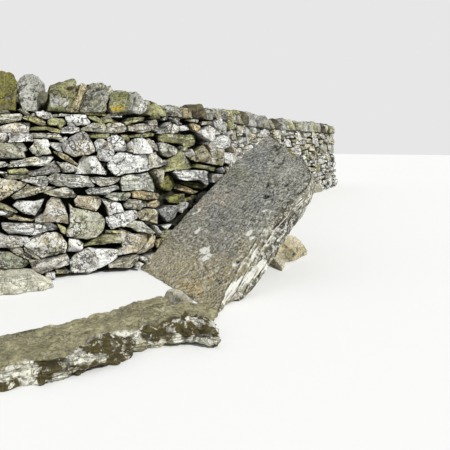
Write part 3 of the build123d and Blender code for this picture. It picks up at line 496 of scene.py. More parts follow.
class Layout:
    """Stones on the strip: each is an outline, and where two meet they share the ground."""

    ANGLES = 90           # directions in which an outline is measured
    LEAST = 0.004         # reach of an outline, in metres
    REACH = 1.30          # how far past its own outline a filling stone may grow, as a share
    SPREAD = 0.011        # how far past its own outline a listed stone may grow, in metres
    GIVEN = 1.04          # share of a listed stone's outline at which a filling stone stops
    FIRST = 0.10          # share of a stone's outline from which it grows
    STEPS = 30            # in which it grows
    NEIGHBOURS = 20       # that it may meet
    CLOSE = 0.90          # share of their sizes by which filling stones are kept apart
    LEAN = 5.5            # usual lean of a filling stone, in degrees
    LENGTHS, HEIGHTS = (0.72, 1.04), (0.72, 1.06)     # where its corners are, against its half size
    BROKEN = 0.42         # share of its corners that are broken off
    SIZES = [
        # tries, then shortest and longest half length, lowest and highest half height
        (110, 0.15, 0.24, 0.075, 0.110), (900, 0.10, 0.21, 0.040, 0.072), (4200, 0.08, 0.17, 0.028, 0.050),
        (7500, 0.05, 0.12, 0.020, 0.038), (9000, 0.035, 0.07, 0.014, 0.027),
    ]

    def __init__(self, strip, height, seed):
        self.strip, self.height = strip, height
        self.rng = np.random.default_rng(seed)
        self.middles, self.halves, self.outlines, self.tables = [], [], [], []
        self.looks, self.kinds = [], []

    def add(self, corners, look, kind):
        """Adds a stone by the corners of its outline on the strip."""
        following = np.roll(corners, -1, 0)
        twice = corners[:, 0] * following[:, 1] - corners[:, 1] * following[:, 0]
        middle = ((corners + following) * twice[:, None]).sum(0) / (3 * twice.sum())
        around = corners - middle
        if twice.sum() < 0:
            around = around[::-1]
        self.middles.append((middle[0] % self.strip.length, middle[1]))
        self.halves.append(around.max(0) / 2 - around.min(0) / 2)
        self.looks.append(look)
        self.kinds.append(kind)
        self.outlines.append(around)
        angles = np.arange(self.ANGLES) * 2 * math.pi / self.ANGLES
        self.tables.append(np.maximum(radius_towards(around, angles), self.LEAST))

    def add_listed(self, rows, kind, out=0.0):
        """Adds stones that are listed by their corners in the photograph."""
        for look, places in rows:
            corners = [on_front(self.strip, x, y, out) for x, y in zip(places[::2], places[1::2])]
            self.add(np.array(corners), look, kind)

    def freeze(self):
        """Turns the lists to arrays."""
        self.middles = np.array(self.middles)
        self.halves = np.array(self.halves)
        self.tables = np.array(self.tables)

    def away(self, points, middles):
        """Steps from middles to points, the short way round the strip."""
        step = points - middles
        half = self.strip.length / 2
        step[..., 0] = (step[..., 0] + half) % self.strip.length - half
        return step

    def block(self, half):
        """Corners of a split stone of a half size: flat beds, broken ends, here and there a lost corner."""
        rng = self.rng
        corners = []
        for side, level in ((-1, -1), (1, -1), (1, 1), (-1, 1)):
            corner = np.array([side * rng.uniform(*self.LENGTHS), level * rng.uniform(*self.HEIGHTS)])
            if rng.random() < self.BROKEN:
                cut = rng.uniform(0.2, 0.75, 2) * np.array([1, rng.uniform(0.6, 1.5)])
                ends = [corner - (side * cut[0], 0), corner - (0, level * min(cut[1], 1.0))]
                corners += ends if side != level else ends[::-1]
            else:
                corners.append(corner)
        return np.array(corners) * half

    def fill(self):
        """Packs more stones in what the listed ones leave, from large to small."""
        rng = self.rng
        fixed = [(*middle, *half) for middle, half in zip(self.middles, self.halves)]
        for tries, short, long, low, high in self.SIZES:
            for _ in range(tries):
                half = np.array([rng.uniform(short, long), rng.uniform(low, high)])
                spot = np.array([rng.uniform(0, self.strip.length), rng.uniform(0.02, self.height)])
                spot[1] = min(max(spot[1], half[1] * 0.9), self.height - half[1] * 0.95)
                lean = math.radians(rng.normal(0, self.LEAN))
                look = COMMON_LOOKS[int(rng.integers(len(COMMON_LOOKS)))]
                packed = np.array(fixed)
                step = np.abs(self.away(spot, packed[:, :2]))
                room = step - (packed[:, 2:] + half) * self.CLOSE
                if np.any((room[:, 0] < 0) & (room[:, 1] < 0)):
                    continue
                fixed.append((*spot, *half))
                turn = np.array([[math.cos(lean), -math.sin(lean)], [math.sin(lean), math.cos(lean)]])
                self.add(spot + self.block(half) @ turn.T, look, "fill")

    def measure(self, indices, step):
        """Distance of steps from the middles of stones, where 1 is on a stone's own outline."""
        turn = (np.arctan2(step[..., 1], step[..., 0]) / (2 * math.pi) % 1) * self.ANGLES
        before = np.floor(turn).astype(int) % self.ANGLES
        share = turn - np.floor(turn)
        rows = np.arange(len(indices)).reshape(-1, *[1] * (before.ndim - 1))
        tables = self.tables[indices]
        reach = tables[rows, before] * (1 - share) + tables[rows, (before + 1) % self.ANGLES] * share
        return np.hypot(step[..., 0], step[..., 1]) / reach

    def neighbours(self, index):
        """Stones that may share an edge with one stone."""
        step = np.abs(self.away(self.middles, self.middles[index]))
        apart = np.maximum(step - self.halves - self.halves[index], 0)
        order = np.argsort(np.hypot(apart[:, 0], apart[:, 1]) + 0.05 * np.hypot(step[:, 0], step[:, 1]))
        return order[order != index][:self.NEIGHBOURS]

    def outline(self, index, count):
        """Rays from a stone's middle, through its corners too, and how far it reaches along each."""
        corners = self.outlines[index]
        sides = np.roll(corners, -1, 0) - corners
        lengths = np.linalg.norm(sides, axis=1)
        angles = []
        for corner, side, parts in zip(corners, sides, np.ceil(count * lengths / lengths.sum()).astype(int)):
            points = corner + side * (np.arange(parts) / parts)[:, None]
            angles.append(np.arctan2(points[:, 1], points[:, 0]))
        angles = np.unique(np.round(np.concatenate(angles), 3))
        rays = np.stack([np.cos(angles), np.sin(angles)], 1)
        own = radius_towards(corners, angles)
        listed = self.kinds[index] != "fill"
        limit = 1 + self.SPREAD / own.mean() if listed else self.REACH
        shares = np.linspace(self.FIRST, limit, self.STEPS)
        points = rays[:, None] * own[:, None, None] * shares[None, :, None]
        near = self.neighbours(index)
        kinds = np.array([self.kinds[other] for other in near])
        claim = shares
        if listed:
            near = near[kinds == self.kinds[index]]
        else:
            # a filling stone gives way to a listed one, and stones of a kind meet half way
            claim = np.where((kinds != "fill")[:, None, None], self.GIVEN, shares)
        if not len(near):
            return rays, own * limit
        offset = self.away(self.middles[near], self.middles[index])
        spare = (self.measure(near, points[None] - offset[:, None, None]) - claim).min(0)
        reach = np.full(len(angles), limit)
        for ray, crossed in enumerate(spare < 0):
            hits = np.flatnonzero(crossed)
            if len(hits) and hits[0] > 0:
                last, past = spare[ray, hits[0] - 1], spare[ray, hits[0]]
                reach[ray] = shares[hits[0] - 1] + (shares[1] - shares[0]) * last / (last - past)
            elif len(hits):
                reach[ray] = shares[0]
        return rays, own * reach


def linked(name, mesh):
    """A new object of a mesh, in the scene."""
    made = bpy.data.objects.new(name, mesh)
    bpy.context.scene.collection.objects.link(made)
    return made


class MeshParts:
    """Vertices, faces and looks of many stones, gathered for one mesh."""

    # tone: colour. growth: lichen, moss, painted shade for depth, undersides and hollows. marks: bedding,
    # orange lichen, warm stain.
    # grain: the stone's own axes, the last square to its beds
    VALUES = {"tone": ("FLOAT_COLOR", "color"), "growth": ("FLOAT_VECTOR", "vector"),
              "marks": ("FLOAT_VECTOR", "vector"), "grain": ("FLOAT_VECTOR", "vector")}
    SHARP = math.radians(30)

    def __init__(self):
        self.points, self.faces, self.count = [], [], 0
        self.values = {name: [] for name in self.VALUES}

    def add(self, points, faces, **values):
        """Adds a closed skin with the values of its points."""
        self.points.append(points)
        self.faces += [tuple(int(corner) + self.count for corner in face) for face in faces]
        self.count += len(points)
        for name, value in values.items():
            self.values[name].append(np.broadcast_to(value, (len(points), len(np.atleast_2d(value)[0]))))

    def add_rings(self, rings, **values):
        """Adds a closed skin over rings of points, closed by its first and last point."""
        body = np.array(rings[1:-1])
        levels, around = body.shape[:2]
        grid = 1 + np.arange(levels * around).reshape(levels, around)
        ahead = np.roll(grid, -1, 1)
        end = 1 + levels * around
        faces = [(0, a, b) for a, b in zip(grid[0], ahead[0])]
        faces += list(np.stack([grid[:-1], grid[1:], ahead[1:], ahead[:-1]], -1).reshape(-1, 4))
        faces += [(end, b, a) for a, b in zip(grid[-1], ahead[-1])]
        self.add(np.concatenate([rings[0], body.reshape(-1, 3), rings[-1]]), faces, **values)

    def make(self, name, finish):
        """One mesh object of all that was gathered."""
        mesh = bpy.data.meshes.new(name)
        mesh.from_pydata(np.concatenate(self.points).tolist(), [], self.faces)
        mesh.update()
        for value, (kind, field) in self.VALUES.items():
            attribute = mesh.attributes.new(value, kind, "POINT")
            attribute.data.foreach_set(field, np.concatenate(self.values[value]).astype(np.float32).ravel())
        piece = linked(name, mesh)
        mesh.polygons.foreach_set("use_smooth", np.ones(len(mesh.polygons), bool))
        mesh.set_sharp_from_angle(angle=self.SHARP)
        mesh.materials.append(finish)
        return piece


def own_axes(points, turn, tilt=0.0):
    """Points on axes turned in plan and then tilted, so that the last is square to a stone's beds."""
    ahead = points[:, 0] * math.cos(turn) + points[:, 1] * math.sin(turn)
    across = points[:, 1] * math.cos(turn) - points[:, 0] * math.sin(turn)
    return np.stack([ahead * math.cos(tilt) + points[:, 2] * math.sin(tilt), across,
                     points[:, 2] * math.cos(tilt) - ahead * math.sin(tilt)], 1)


def patchy(points, size, seed):
    """How thickly something grows from place to place, about 1."""
    return np.clip(1 + 0.8 * noise(points, size, seed), 0.2, 1.7)


# A face stone, in metres and shares of its size. The near ones have finer shapes.
FIRST_SEED = 1000
MEETING = 0.6             # how far past the second bay the near stones go
NEAR_RAYS, FAR_RAYS = 44, 16
NEAR_SHARES, FAR_SHARES = (0.22, 0.44, 0.66, 0.84, 1.0), (0.45, 1.0)      # sizes of its front's rings
NEAR_TAIL = ((0.985, 0.25), (0.94, 0.6), (0.84, 1.0))     # sizes and depths of its tail's rings
FAR_TAIL = ((0.97, 0.4), (0.84, 1.0))
LISTED_JOINT, FAR_JOINT = 0.1, 2.2        # joints of listed and of far stones against the usual one
LEAST_REACH = 0.35        # of a stone once its joint is taken off
RAGGED_TOP = (-0.03, 0.012)       # where the stones under the cope end, from the head of the wall
CHIP_DEPTH = 0.009
STANDS_OUT = -0.002       # of the faces' plane, and how unevenly
NEAR_UNEVEN, FAR_UNEVEN = 0.013, 0.017
FACETS = 5                # broken off its front
FACET_SLOPES, FRONT_SLOPES = np.array([0.34, 0.42]), np.array([0.07, 0.10])
FACET_REACH = (0.007, 0.026)      # depth at which they start, for a stone of at least this half size
FULL_FACETS = 0.07
SLENDER = 1.3             # beyond it a stone's beds follow its length
FRONT_LIMITS = (-0.050, 0.022)
TAIL_DEPTHS = (0.13, 0.17)
NEAR_SHADES, FAR_SHADES = 0.12, 0.28      # how much lighter or darker a stone may be than its look
EDGE_STEP, FRONT_STEP, PATCH_STEP = 0.37, 0.61, 0.71       # from stone to stone in the noise
# Patterns of noise on it: size, layers if it has more than one, and seed
CHIPPING, SWELLING, DENTS, LEDGES = (0.040, 2, 7), (0.085, 2, 3), (0.030, 2, 5), (0.016, 8)
PATCHES, GROWTH = (0.09, 21), (0.07, 23)
SWELL_DEPTH, DENT_DEPTH, LEDGE_DEPTH = 0.005, 0.004, 0.004


def face_stone_edge(layout, index, rng, near, joint):
    """Rays from a face stone's middle, and how far its chipped edge is along each."""
    along, height = layout.middles[index]
    rays, radii = layout.outline(index, NEAR_RAYS if near else FAR_RAYS)
    widened = LISTED_JOINT if layout.kinds[index] != "fill" else 1 if near else FAR_JOINT
    gap = rng.uniform(0.4, 1.2) * joint * widened
    radii = np.maximum(radii - gap, LEAST_REACH * radii)
    top = layout.height + rng.uniform(*RAGGED_TOP)
    stop = np.where(rays[:, 1] > 0, top - height, -height)
    reach = np.where(np.abs(rays[:, 1]) > 1e-6, stop / np.where(rays[:, 1] == 0, 1, rays[:, 1]), 9)
    radii = np.minimum(radii, np.maximum(reach, 0.01))
    edge = np.stack([along + rays[:, 0] * radii, height + rays[:, 1] * radii,
                     np.full(len(rays), index * EDGE_STEP)], 1)
    chips = CHIP_DEPTH * rough(edge, *CHIPPING)
    return rays, radii - np.clip(chips, -0.001, 0.10 * layout.halves[index].min() + 0.002)


def lie_of_beds(rays, radii, rng):
    """How slender a face stone is, and the tilt of its beds."""
    spread, axes = np.linalg.eigh(np.cov((rays * radii[:, None]).T))
    slender = math.sqrt(spread[1] / spread[0])
    if slender > SLENDER and abs(axes[0, 1]) > 0.2:
        return slender, math.atan(axes[1, 1] / axes[0, 1])
    return slender, rng.normal(0, 0.2)


def lay_stone(parts, layout, index, settings):
    """Lays one face stone as a closed skin: a broken front, a chipped edge and a tail into the wall."""
    rng = np.random.default_rng(FIRST_SEED + index)
    along, height = layout.middles[index]
    near = along < layout.strip.marks[2] + MEETING
    rays, radii = face_stone_edge(layout, index, rng, near, settings.joint)
    least = layout.halves[index].min()
    out = rng.normal(STANDS_OUT, NEAR_UNEVEN if near else FAR_UNEVEN)
    if height < settings.footing_height:
        out += settings.footing_step - 0.008
    if layout.kinds[index] == "deep":
        out += settings.hollow_depth
    edge = min(rng.uniform(0.003, 0.008), 0.22 * least)
    facets = rng.normal(0, 1, (FACETS, 2)) * FACET_SLOPES
    starts = rng.uniform(*FACET_REACH, FACETS) * min(1, least / FULL_FACETS)
    turn = rng.normal(0, 1, 2) * FRONT_SLOPES
    slender, tilt = lie_of_beds(rays, radii, rng)
    bedding = 0.15 + 0.85 * float(smooth(1.5, 2.8, slender))

    def surface(radius, drop):
        """Front points at a radius: a main face, facets broken off it and the grain of the stone."""
        flat = rays * radius[:, None]
        lift = np.minimum((starts + flat @ facets.T).min(1), 0) + flat @ turn
        spot = np.stack([along + flat[:, 0], height + flat[:, 1], np.full(len(flat), index * FRONT_STEP)], 1)
        lift += SWELL_DEPTH * rough(spot, *SWELLING)
        if near:
            bed = flat[:, 1] * math.cos(tilt) - flat[:, 0] * math.sin(tilt)
            ledge = noise(np.stack([spot[:, 0] * 0.2, bed, spot[:, 2]], 1), *LEDGES)
            lift += DENT_DEPTH * rough(spot, *DENTS) + LEDGE_DEPTH * bedding * ledge
        lift = np.clip(lift, *FRONT_LIMITS)
        return np.stack([along + flat[:, 0], height + flat[:, 1], out + lift - drop], 1)

    rim = np.maximum(radii - edge, 0.55 * radii)
    rings = [surface(radii * 0, 0)[:1]]
    rings += [surface(rim * share, 0) for share in (NEAR_SHARES if near else FAR_SHARES)]
    rings.append(surface(radii, edge))
    fronts = len(rings)
    depth = rng.uniform(*TAIL_DEPTHS)
    for share, deep in NEAR_TAIL if near else FAR_TAIL:
        flat = rays * (radii * share)[:, None]
        sunk = np.full(len(flat), out - edge - depth * deep)
        rings.append(np.stack([along + flat[:, 0], height + flat[:, 1], sunk], 1))
    rings.append(np.array([[along, height, out - edge - depth]]))

    spots = np.concatenate(rings)
    orders = np.concatenate([np.full(len(ring), order) for order, ring in enumerate(rings)])
    colour, lichen, moss = LOOKS[layout.looks[index]]
    warmth = rng.uniform(-0.05, 0.05)
    shades = NEAR_SHADES if near else FAR_SHADES
    shade = np.array(colour) * rng.uniform(1 - shades, 1 + shades) * np.array([1 + warmth, 1, 1 - warmth])
    other = np.array(LOOKS[COMMON_LOOKS[int(rng.integers(len(COMMON_LOOKS)))]][0])
    patch = smooth(0.20, 0.40, noise(spots + index * PATCH_STEP, *PATCHES))[:, None] * 0.6
    grown = patchy(spots + index * EDGE_STEP, *GROWTH)
    # The tail that goes into the wall gets painted shade, so it shows dark in the joints
    behind = np.clip((orders - fronts + 1) / 2, 0, 1)
    own = spots - np.array([along, height, 0])
    parts.add_rings(
        [layout.strip.place(*ring.T) for ring in rings],
        tone=np.column_stack([shade + (other - shade) * patch, np.ones(len(spots))]),
        growth=np.column_stack([lichen * grown, moss * (2 - grown), behind]),
        marks=np.array([bedding, 0, rng.uniform(0.0, 0.9) ** 2]),
        grain=own_axes(own[:, [0, 2, 1]], 0, tilt) + index * np.array([1.7, 2.9, 0.9]))


# The leaning slab's marks, by their place in the photograph and size in metres
# Its pits, its pitted patch and its cracks are dented in and get painted shade
SLAB_PITS = [(267, 186, 0.024), (266.5, 197, 0.030), (286, 185, 0.024), (275, 185, 0.012), (233, 175, 0.014),
             (208, 225, 0.012), (279, 201, 0.012), (237, 262, 0.020), (264, 188, 0.016)]
# The pitted patch near its head: middle, half width and half height in the photograph
SLAB_POCKS = (277, 155, 8, 14)
SLAB_LICHENS = [(205, 252, 0.035), (208, 257, 0.045), (203, 249, 0.030), (249, 234, 0.035), (252, 238, 0.026),
                (236, 264, 0.030), (265, 211, 0.018), (150, 263, 0.018), (197, 232, 0.034), (199, 211, 0.024),
                (194, 214, 0.020), (241, 158, 0.016), (221, 202, 0.012)]
SLAB_CRACKS = [[(214, 204), (224, 207), (234, 211)], [(224, 182), (236, 186)]]
# Its moss: a line in the photograph, and how far the moss spreads from it in metres
SLAB_MOSSES = [([(269, 134), (284, 145), (296, 156)], 0.022), ([(248, 151), (256, 144), (263, 137)], 0.050)]
# Tints of its upper face: middle and radius in the photograph, and colour
SLAB_TINTS = [((201, 208), 10, (0.47, 0.405, 0.33)), ((222, 200), 12, (0.385, 0.345, 0.285)),
              ((222, 220), 17, (0.235, 0.235, 0.215)), ((224, 248), 17, (0.25, 0.25, 0.22)),
              ((258, 160), 17, (0.235, 0.245, 0.235)), ((264, 200), 14, (0.26, 0.265, 0.24)),
              ((286, 172), 10, (0.36, 0.36, 0.31)), ((165, 262), 19, (0.44, 0.40, 0.29)),
              ((190, 290), 17, (0.46, 0.365, 0.18)), ((188, 238), 13, (0.33, 0.305, 0.25)),
              ((243, 175), 9, (0.27, 0.28, 0.20)), ((205, 262), 13, (0.38, 0.345, 0.245))]
# White streaks down its side: ends and half width in the photograph, and strength
SLAB_WHITES = [(((218, 301), (262, 266)), 5.5, 1.0), (((262, 268), (292, 216)), 4.0, 0.2),
               (((296, 190), (307, 176)), 6.0, 0.3), (((236, 276), (300, 200)), 3.5, 0.3)]
# The darker streak on its sides under its edge: ends and half width
SLAB_DARK_STREAK = (((262, 264), (290, 222)), 5.5)
SLAB_GREY, SLAB_OCHRE = np.array([0.31, 0.305, 0.26]), np.array([0.40, 0.355, 0.21])
SLAB_SIDE = np.array([0.27, 0.25, 0.175])
PIT_DEPTH, POCK_DEPTH, CRACK_DEPTH = 0.024, 0.012, 0.006
# Patterns of noise on it: size, layers if it has more than one, and seed
SLAB_SWELLS, SLAB_DENTS, SLAB_BEDS, SIDE_DENTS = (0.35, 3, 31), (0.07, 3, 37), (0.034, 3, 41), (0.05, 3, 43)
POCKING, CRACK_WANDER, STAIN_WANDER, TINT_EDGE = (0.045, 73), (0.06, 2, 67), (0.3, 3, 71), (0.12, 3, 79)
LICHEN_EDGE, MOSS_EDGE, WHITE_EDGE = (0.05, 2, 51), (0.05, 2, 61), (0.05, 2, 47)
FLAT_BEDS = np.array([0.16, 0.16, 1.0])       # how its beds are drawn out


class SlabFrame:
    """Axes on the leaning slab's upper face: up its slope, level outwards, and down into the stone."""

    def __init__(self):
        mesh = CAD["leaning_slab"].data
        areas = {}
        for polygon in mesh.polygons:
            way = tuple(np.round(polygon.normal, 2))
            areas[way] = areas.get(way, 0) + polygon.area
        widest = max((way for way in areas if way[2] > 0.3), key=areas.get)
        face = [polygon for polygon in mesh.polygons if tuple(np.round(polygon.normal, 2)) == widest]
        self.normal = np.array(face[0].normal)
        up = np.array([0, 0, 1]) - self.normal * self.normal[2]
        self.up = up / np.linalg.norm(up)
        self.out = np.cross(self.up, self.normal)
        if self.out[1] > 0:
            self.out = -self.out
        corners = np.array([mesh.vertices[corner].co[:] for polygon in face for corner in polygon.vertices])
        low = corners[corners[:, 2] < 0.02]
        self.foot = low[np.argmin(low @ self.out)]

    def coordinates(self, points):
        """Distances up the slope, outwards and down from the face."""
        step = points - self.foot
        return np.stack([step @ self.up, step @ self.out, -step @ self.normal], -1)

    def on_face(self, x, y):
        """Place on the face under a point of the photograph, as up and out."""
        ray = sight(x, y)
        hit = CAMERA_PLACE + ray * ((self.foot - CAMERA_PLACE) @ self.normal) / (ray @ self.normal)
        return self.coordinates(hit)[:2]

    def from_point(self, place, x, y):
        """Distance on the face of places from a point of the photograph."""
        return np.linalg.norm(place[:, :2] - self.on_face(x, y), axis=1)

    def from_route(self, place, route):
        """Distance on the face of places from a line that is drawn on the photograph."""
        route = np.array([self.on_face(x, y) for x, y in route])
        return np.min([away_from(place[:, :2], a, b) for a, b in zip(route, route[1:])], axis=0)


def away_from(points, start, end):
    """Distance of points from a straight stretch, in the plane of both."""
    start, end = np.array(start), np.array(end)
    run = end - start
    share = np.clip((points - start) @ run / (run @ run), 0, 1)
    return np.linalg.norm(points - start - share[:, None] * run, axis=1)


# Weathered copies of the frame's own stones

# Spots on the near cope, prop and toe stones: middle, half width and half height in the photograph
ORANGE_SPOTS = [(118, 107.5, 7.0, 4.5)]
# The dark ones are holes, dented in and filled with painted shade
PAINTED_SHADE_HOLES = [(93.5, 91, 3.0, 1.8), (98, 88.5, 3.5, 2.2), (102.5, 86.5, 2.4, 1.6), (70, 89, 4.5, 2.6),
              (134.5, 100, 1.2, 3.2), (35.5, 99, 1.4, 1.6), (103.5, 94.5, 2.6, 1.2), (286.3, 247, 1.1, 1.1),
              (290.5, 249.5, 2.2, 0.7), (294.6, 254, 1.0, 1.4)]
# Spots with a colour that is set, which is the last value. On the large prop, the lighter upper facet is
# painted light and the darker lower facet is painted shade.
TONE_SPOTS = [
    (56, 101, 6.5, 6.0, (0.66, 0.66, 0.61)), (65.5, 101, 3.0, 7.5, (0.66, 0.66, 0.61)),
    (143, 104, 5.0, 9.0, (0.86, 0.86, 0.80)), (104, 96, 3.0, 8.0, (0.70, 0.70, 0.66)),
    # The large prop: painted shade on its lower facet, painted light on its upper facet
    (289, 256, 6.5, 6.5, (0.30, 0.27, 0.165)), (300, 240, 9.0, 7.0, (0.62, 0.56, 0.40)),
    (172, 290, 5.0, 3.0, (0.50, 0.47, 0.37)),
]


def welded(name):
    """The mesh of a CAD node with its loose corners joined."""
    whole = bmesh.new()
    whole.from_mesh(CAD[name].data)
    bmesh.ops.remove_doubles(whole, verts=whole.verts, dist=1e-5)
    whole.verts.ensure_lookup_table()
    return whole


def loose_parts(name):
    """The separate solids of a CAD node, as points and faces, sorted along the row."""
    whole = welded(name)
    seen, groups = set(), []
    for vertex in whole.verts:
        if vertex.index in seen:
            continue
        stack, group = [vertex], []
        seen.add(vertex.index)
        while stack:
            here = stack.pop()
            group.append(here)
            for edge in here.link_edges:
                there = edge.other_vert(here)
                if there.index not in seen:
                    seen.add(there.index)
                    stack.append(there)
        groups.append(group)
    meshes = []
    for group in groups:
        order = {vertex.index: place for place, vertex in enumerate(group)}
        faces = {face for vertex in group for face in vertex.link_faces}
        faces = sorted([order[vertex.index] for vertex in face.verts] for face in faces)
        meshes.append(([tuple(vertex.co) for vertex in group], faces))
    whole.free()
    return sorted(meshes, key=lambda mesh: sum(point[0] for point in mesh[0]) / len(mesh[0]))


def remeshed(points, faces, voxel, relax):
    """Points, normals and faces of a solid rebuilt in even small squares, with its edges worn."""
    mesh = bpy.data.meshes.new("raw_stone")
    mesh.from_pydata(points, [], faces)
    raw = linked("raw_stone", mesh)
    even = raw.modifiers.new("even", "REMESH")
    even.mode = "VOXEL"
    even.voxel_size = voxel
    worn = raw.modifiers.new("worn", "SMOOTH")
    worn.factor = 0.5
    worn.iterations = relax
    made = bpy.data.meshes.new_from_object(raw.evaluated_get(bpy.context.evaluated_depsgraph_get()))
    places, normals = np.zeros((2, len(made.vertices) * 3))
    made.vertices.foreach_get("co", places)
    made.vertex_normals.foreach_get("vector", normals)
    quads = [tuple(polygon.vertices) for polygon in made.polygons]
    bpy.data.objects.remove(raw)
    bpy.data.meshes.remove(mesh)
    bpy.data.meshes.remove(made)
    return places.reshape(-1, 3), normals.reshape(-1, 3), quads


CUT_FROM = 0.70, 0.84     # share of its reach from which a stone is broken off flat
# Relief of a worn stone: sizes in metres, and depths as shares of its wear
WORN_SWELLS, WORN_DENTS, DENT_SHARE = 0.16, 0.05, 0.75
GROOVES, GROOVE_SHARE = 0.11, 0.8
WORN_LEDGES, LEDGE_SHARE, LEDGE_STRETCH = 0.032, 1.3, np.array([0.1, 0.1, 1.0])
BED_HOLLOWS, HOLLOW_STRETCH = 0.030, np.array([0.2, 0.2, 1.0])
HOLLOW_BEDS, DARK_HOLES = 0.020, 0.012    # depths in metres
BROKEN_WEAR, BROKEN_BEDS, BROKEN_LICHEN, BROKEN_MOSS = 1.6, 0.6, 1.05, 2.2        # added where it is broken


def chiselled(points, seed, cuts):
    """Points of a stone with flat faces broken off it."""
    rng = np.random.default_rng(seed)
    middle = points.mean(0)
    for _ in range(cuts):
        way = rng.normal(0, 1, 3) * np.array([1, 1, 0.8])
        way /= np.linalg.norm(way)
        way[2] = abs(way[2])
        reach = (points - middle) @ way
        over = np.maximum(reach - rng.uniform(*CUT_FROM) * reach.max(), 0)
        points = points - way * over[:, None] * 0.95
    return points


def worn_relief(local, seed, strength, bedding):
    """Relief of a worn skin, and where it is hollowed between its beds."""
    swells, dents = rough(local, WORN_SWELLS, 2, seed), rough(local, WORN_DENTS, 3, seed + 9)
    lift = strength * (swells + DENT_SHARE * dents)
    grooves = 1 - np.abs(noise(local, GROOVES, seed + 4))
    lift -= strength * GROOVE_SHARE * smooth(0.93, 1.0, grooves)
    ledges = rough(local * LEDGE_STRETCH, WORN_LEDGES, 2, seed + 5)
    lift += strength * bedding * LEDGE_SHARE * np.round(ledges * 2) / 2
    hollows = smooth(0.45, 0.75, noise(local * HOLLOW_STRETCH, BED_HOLLOWS, seed + 6))
    hollows *= smooth(0.7, 1.0, bedding)
    return lift - HOLLOW_BEDS * hollows, hollows


def worn_stone(parts, skin, look, seed, strength, cuts=0, turn=0.0, tilt=0.0, bedding=0.3, broken=0.0):
    """Adds a remeshed stone with a weathered skin, worn beds and the broken share of its points."""
    points, normals, faces = skin
    points = chiselled(points, seed, cuts)
    local = own_axes(points - points.mean(0), turn, math.radians(tilt)) + seed * np.array([3.1, 1.7, 2.3])
    bedding = bedding + BROKEN_BEDS * broken
    lift, hollows = worn_relief(local, seed, strength * (1 + BROKEN_WEAR * broken), bedding)
    shown = shown_at(points)
    colour, lichen, moss = LOOKS[look]
    rng = np.random.default_rng(seed)
    tone = np.array(colour) * rng.uniform(0.90, 1.10) + np.zeros((len(points), 1))
    orange, bare, dark = np.zeros((3, len(points)))
    ragged = 0.3 * noise(local, 0.03, 5)
    for spots, values in ((ORANGE_SPOTS, orange), (TONE_SPOTS, bare), (PAINTED_SHADE_HOLES, dark)):
        for x, y, wide, high, *tint in spots:
            gap = np.hypot((shown[:, 0] - x) / wide, (shown[:, 1] - y) / high)
            spot = smooth(1.2, 0.7, gap + ragged)
            np.maximum(values, spot, out=values)
            if tint:
                tone += (np.array(tint[0]) - tone) * spot[:, None]
    lift -= DARK_HOLES * dark
    points = points + normals * lift[:, None]
    points[:, 2] = np.maximum(points[:, 2], 0.0)
    # Painted shade on undersides that face down
    shaded = smooth(0.2, 1.0, -normals[:, 2]) * 0.5
    grown = patchy(local, 0.09, seed + 7)
    cushions = BROKEN_MOSS * broken * smooth(-0.25, 0.15, rough(local, 0.11, 3, seed + 11))
    flat = np.zeros(len(points))
    # The third value of growth is painted shade: on undersides, in bed hollows and in the dark holes
    parts.add(
        points, faces, tone=np.column_stack([tone, flat + 1]),
        growth=np.column_stack([lichen * grown + BROKEN_LICHEN * broken * grown,
                                moss * (2 - grown) * (1 - bare) + cushions,
                                np.max([shaded, hollows * 0.9, dark * 0.95], axis=0)]),
        marks=np.column_stack([flat + bedding, orange, flat + rng.uniform(0, 0.5)]), grain=local)


# Materials

RUST, BLOTCH, ORANGE_LICHEN = (0.44, 0.34, 0.15), (0.17, 0.155, 0.12), (0.62, 0.42, 0.02)
CRACK, SHADOW = (0.055, 0.050, 0.040), (0.016, 0.015, 0.010)
SLAB_RUST, SLAB_MOSS, SLAB_CRACK = (0.42, 0.34, 0.18), (0.22, 0.21, 0.045), (0.060, 0.055, 0.042)
SLAB_SHADOW = (0.014, 0.013, 0.010)
SLAB_SPOT, SLAB_CRUST, SLAB_SHRED = (0.62, 0.615, 0.54), (0.86, 0.86, 0.80), (0.82, 0.81, 0.73)
# The core's rubble is painted nearly black: painted shade for the gaps between the face stones
RUBBLE_LIGHT, RUBBLE_DARK, RUBBLE_DAMP = (0.050, 0.047, 0.036), (0.006, 0.006, 0.004), (0.030, 0.030, 0.012)
# Colours of lichen and of moss, lightness, and strength of the blotches, cracks and pits
LIMESTONES = {
    "wall_limestone": ((0.93, 0.93, 0.89), (0.25, 0.26, 0.08), 1.0, 1.0),
    "cope_limestone": ((0.58, 0.59, 0.52), (0.17, 0.18, 0.04), 0.86, 1.0),
    "ground_limestone": ((0.78, 0.77, 0.65), (0.100, 0.080, 0.026), 0.94, 0.6),
}
SPECULAR = 0.25
STONE_BUMP, SLAB_BUMP, RUBBLE_BUMP = 0.022, 0.02, 0.02        # depths in metres


class Value:
    """An output of a tree's nodes that takes part in Python sums, each adding a Math node."""

    def __init__(self, nodes, socket):
        self.nodes, self.socket = nodes, socket

    def _math(self, operation, first, second):
        return self.nodes.node("ShaderNodeMath", {"operation": operation}, {0: first, 1: second})

    def __add__(self, other):
        return self._math("ADD", self, other)

    def __radd__(self, other):
        return self._math("ADD", other, self)

    def __sub__(self, other):
        return self._math("SUBTRACT", self, other)

    def __rsub__(self, other):
        return self._math("SUBTRACT", other, self)

    def __mul__(self, other):
        return self._math("MULTIPLY", self, other)

    def __rmul__(self, other):
        return self._math("MULTIPLY", other, self)

    def __abs__(self):
        return self._math("ABSOLUTE", self, 0)


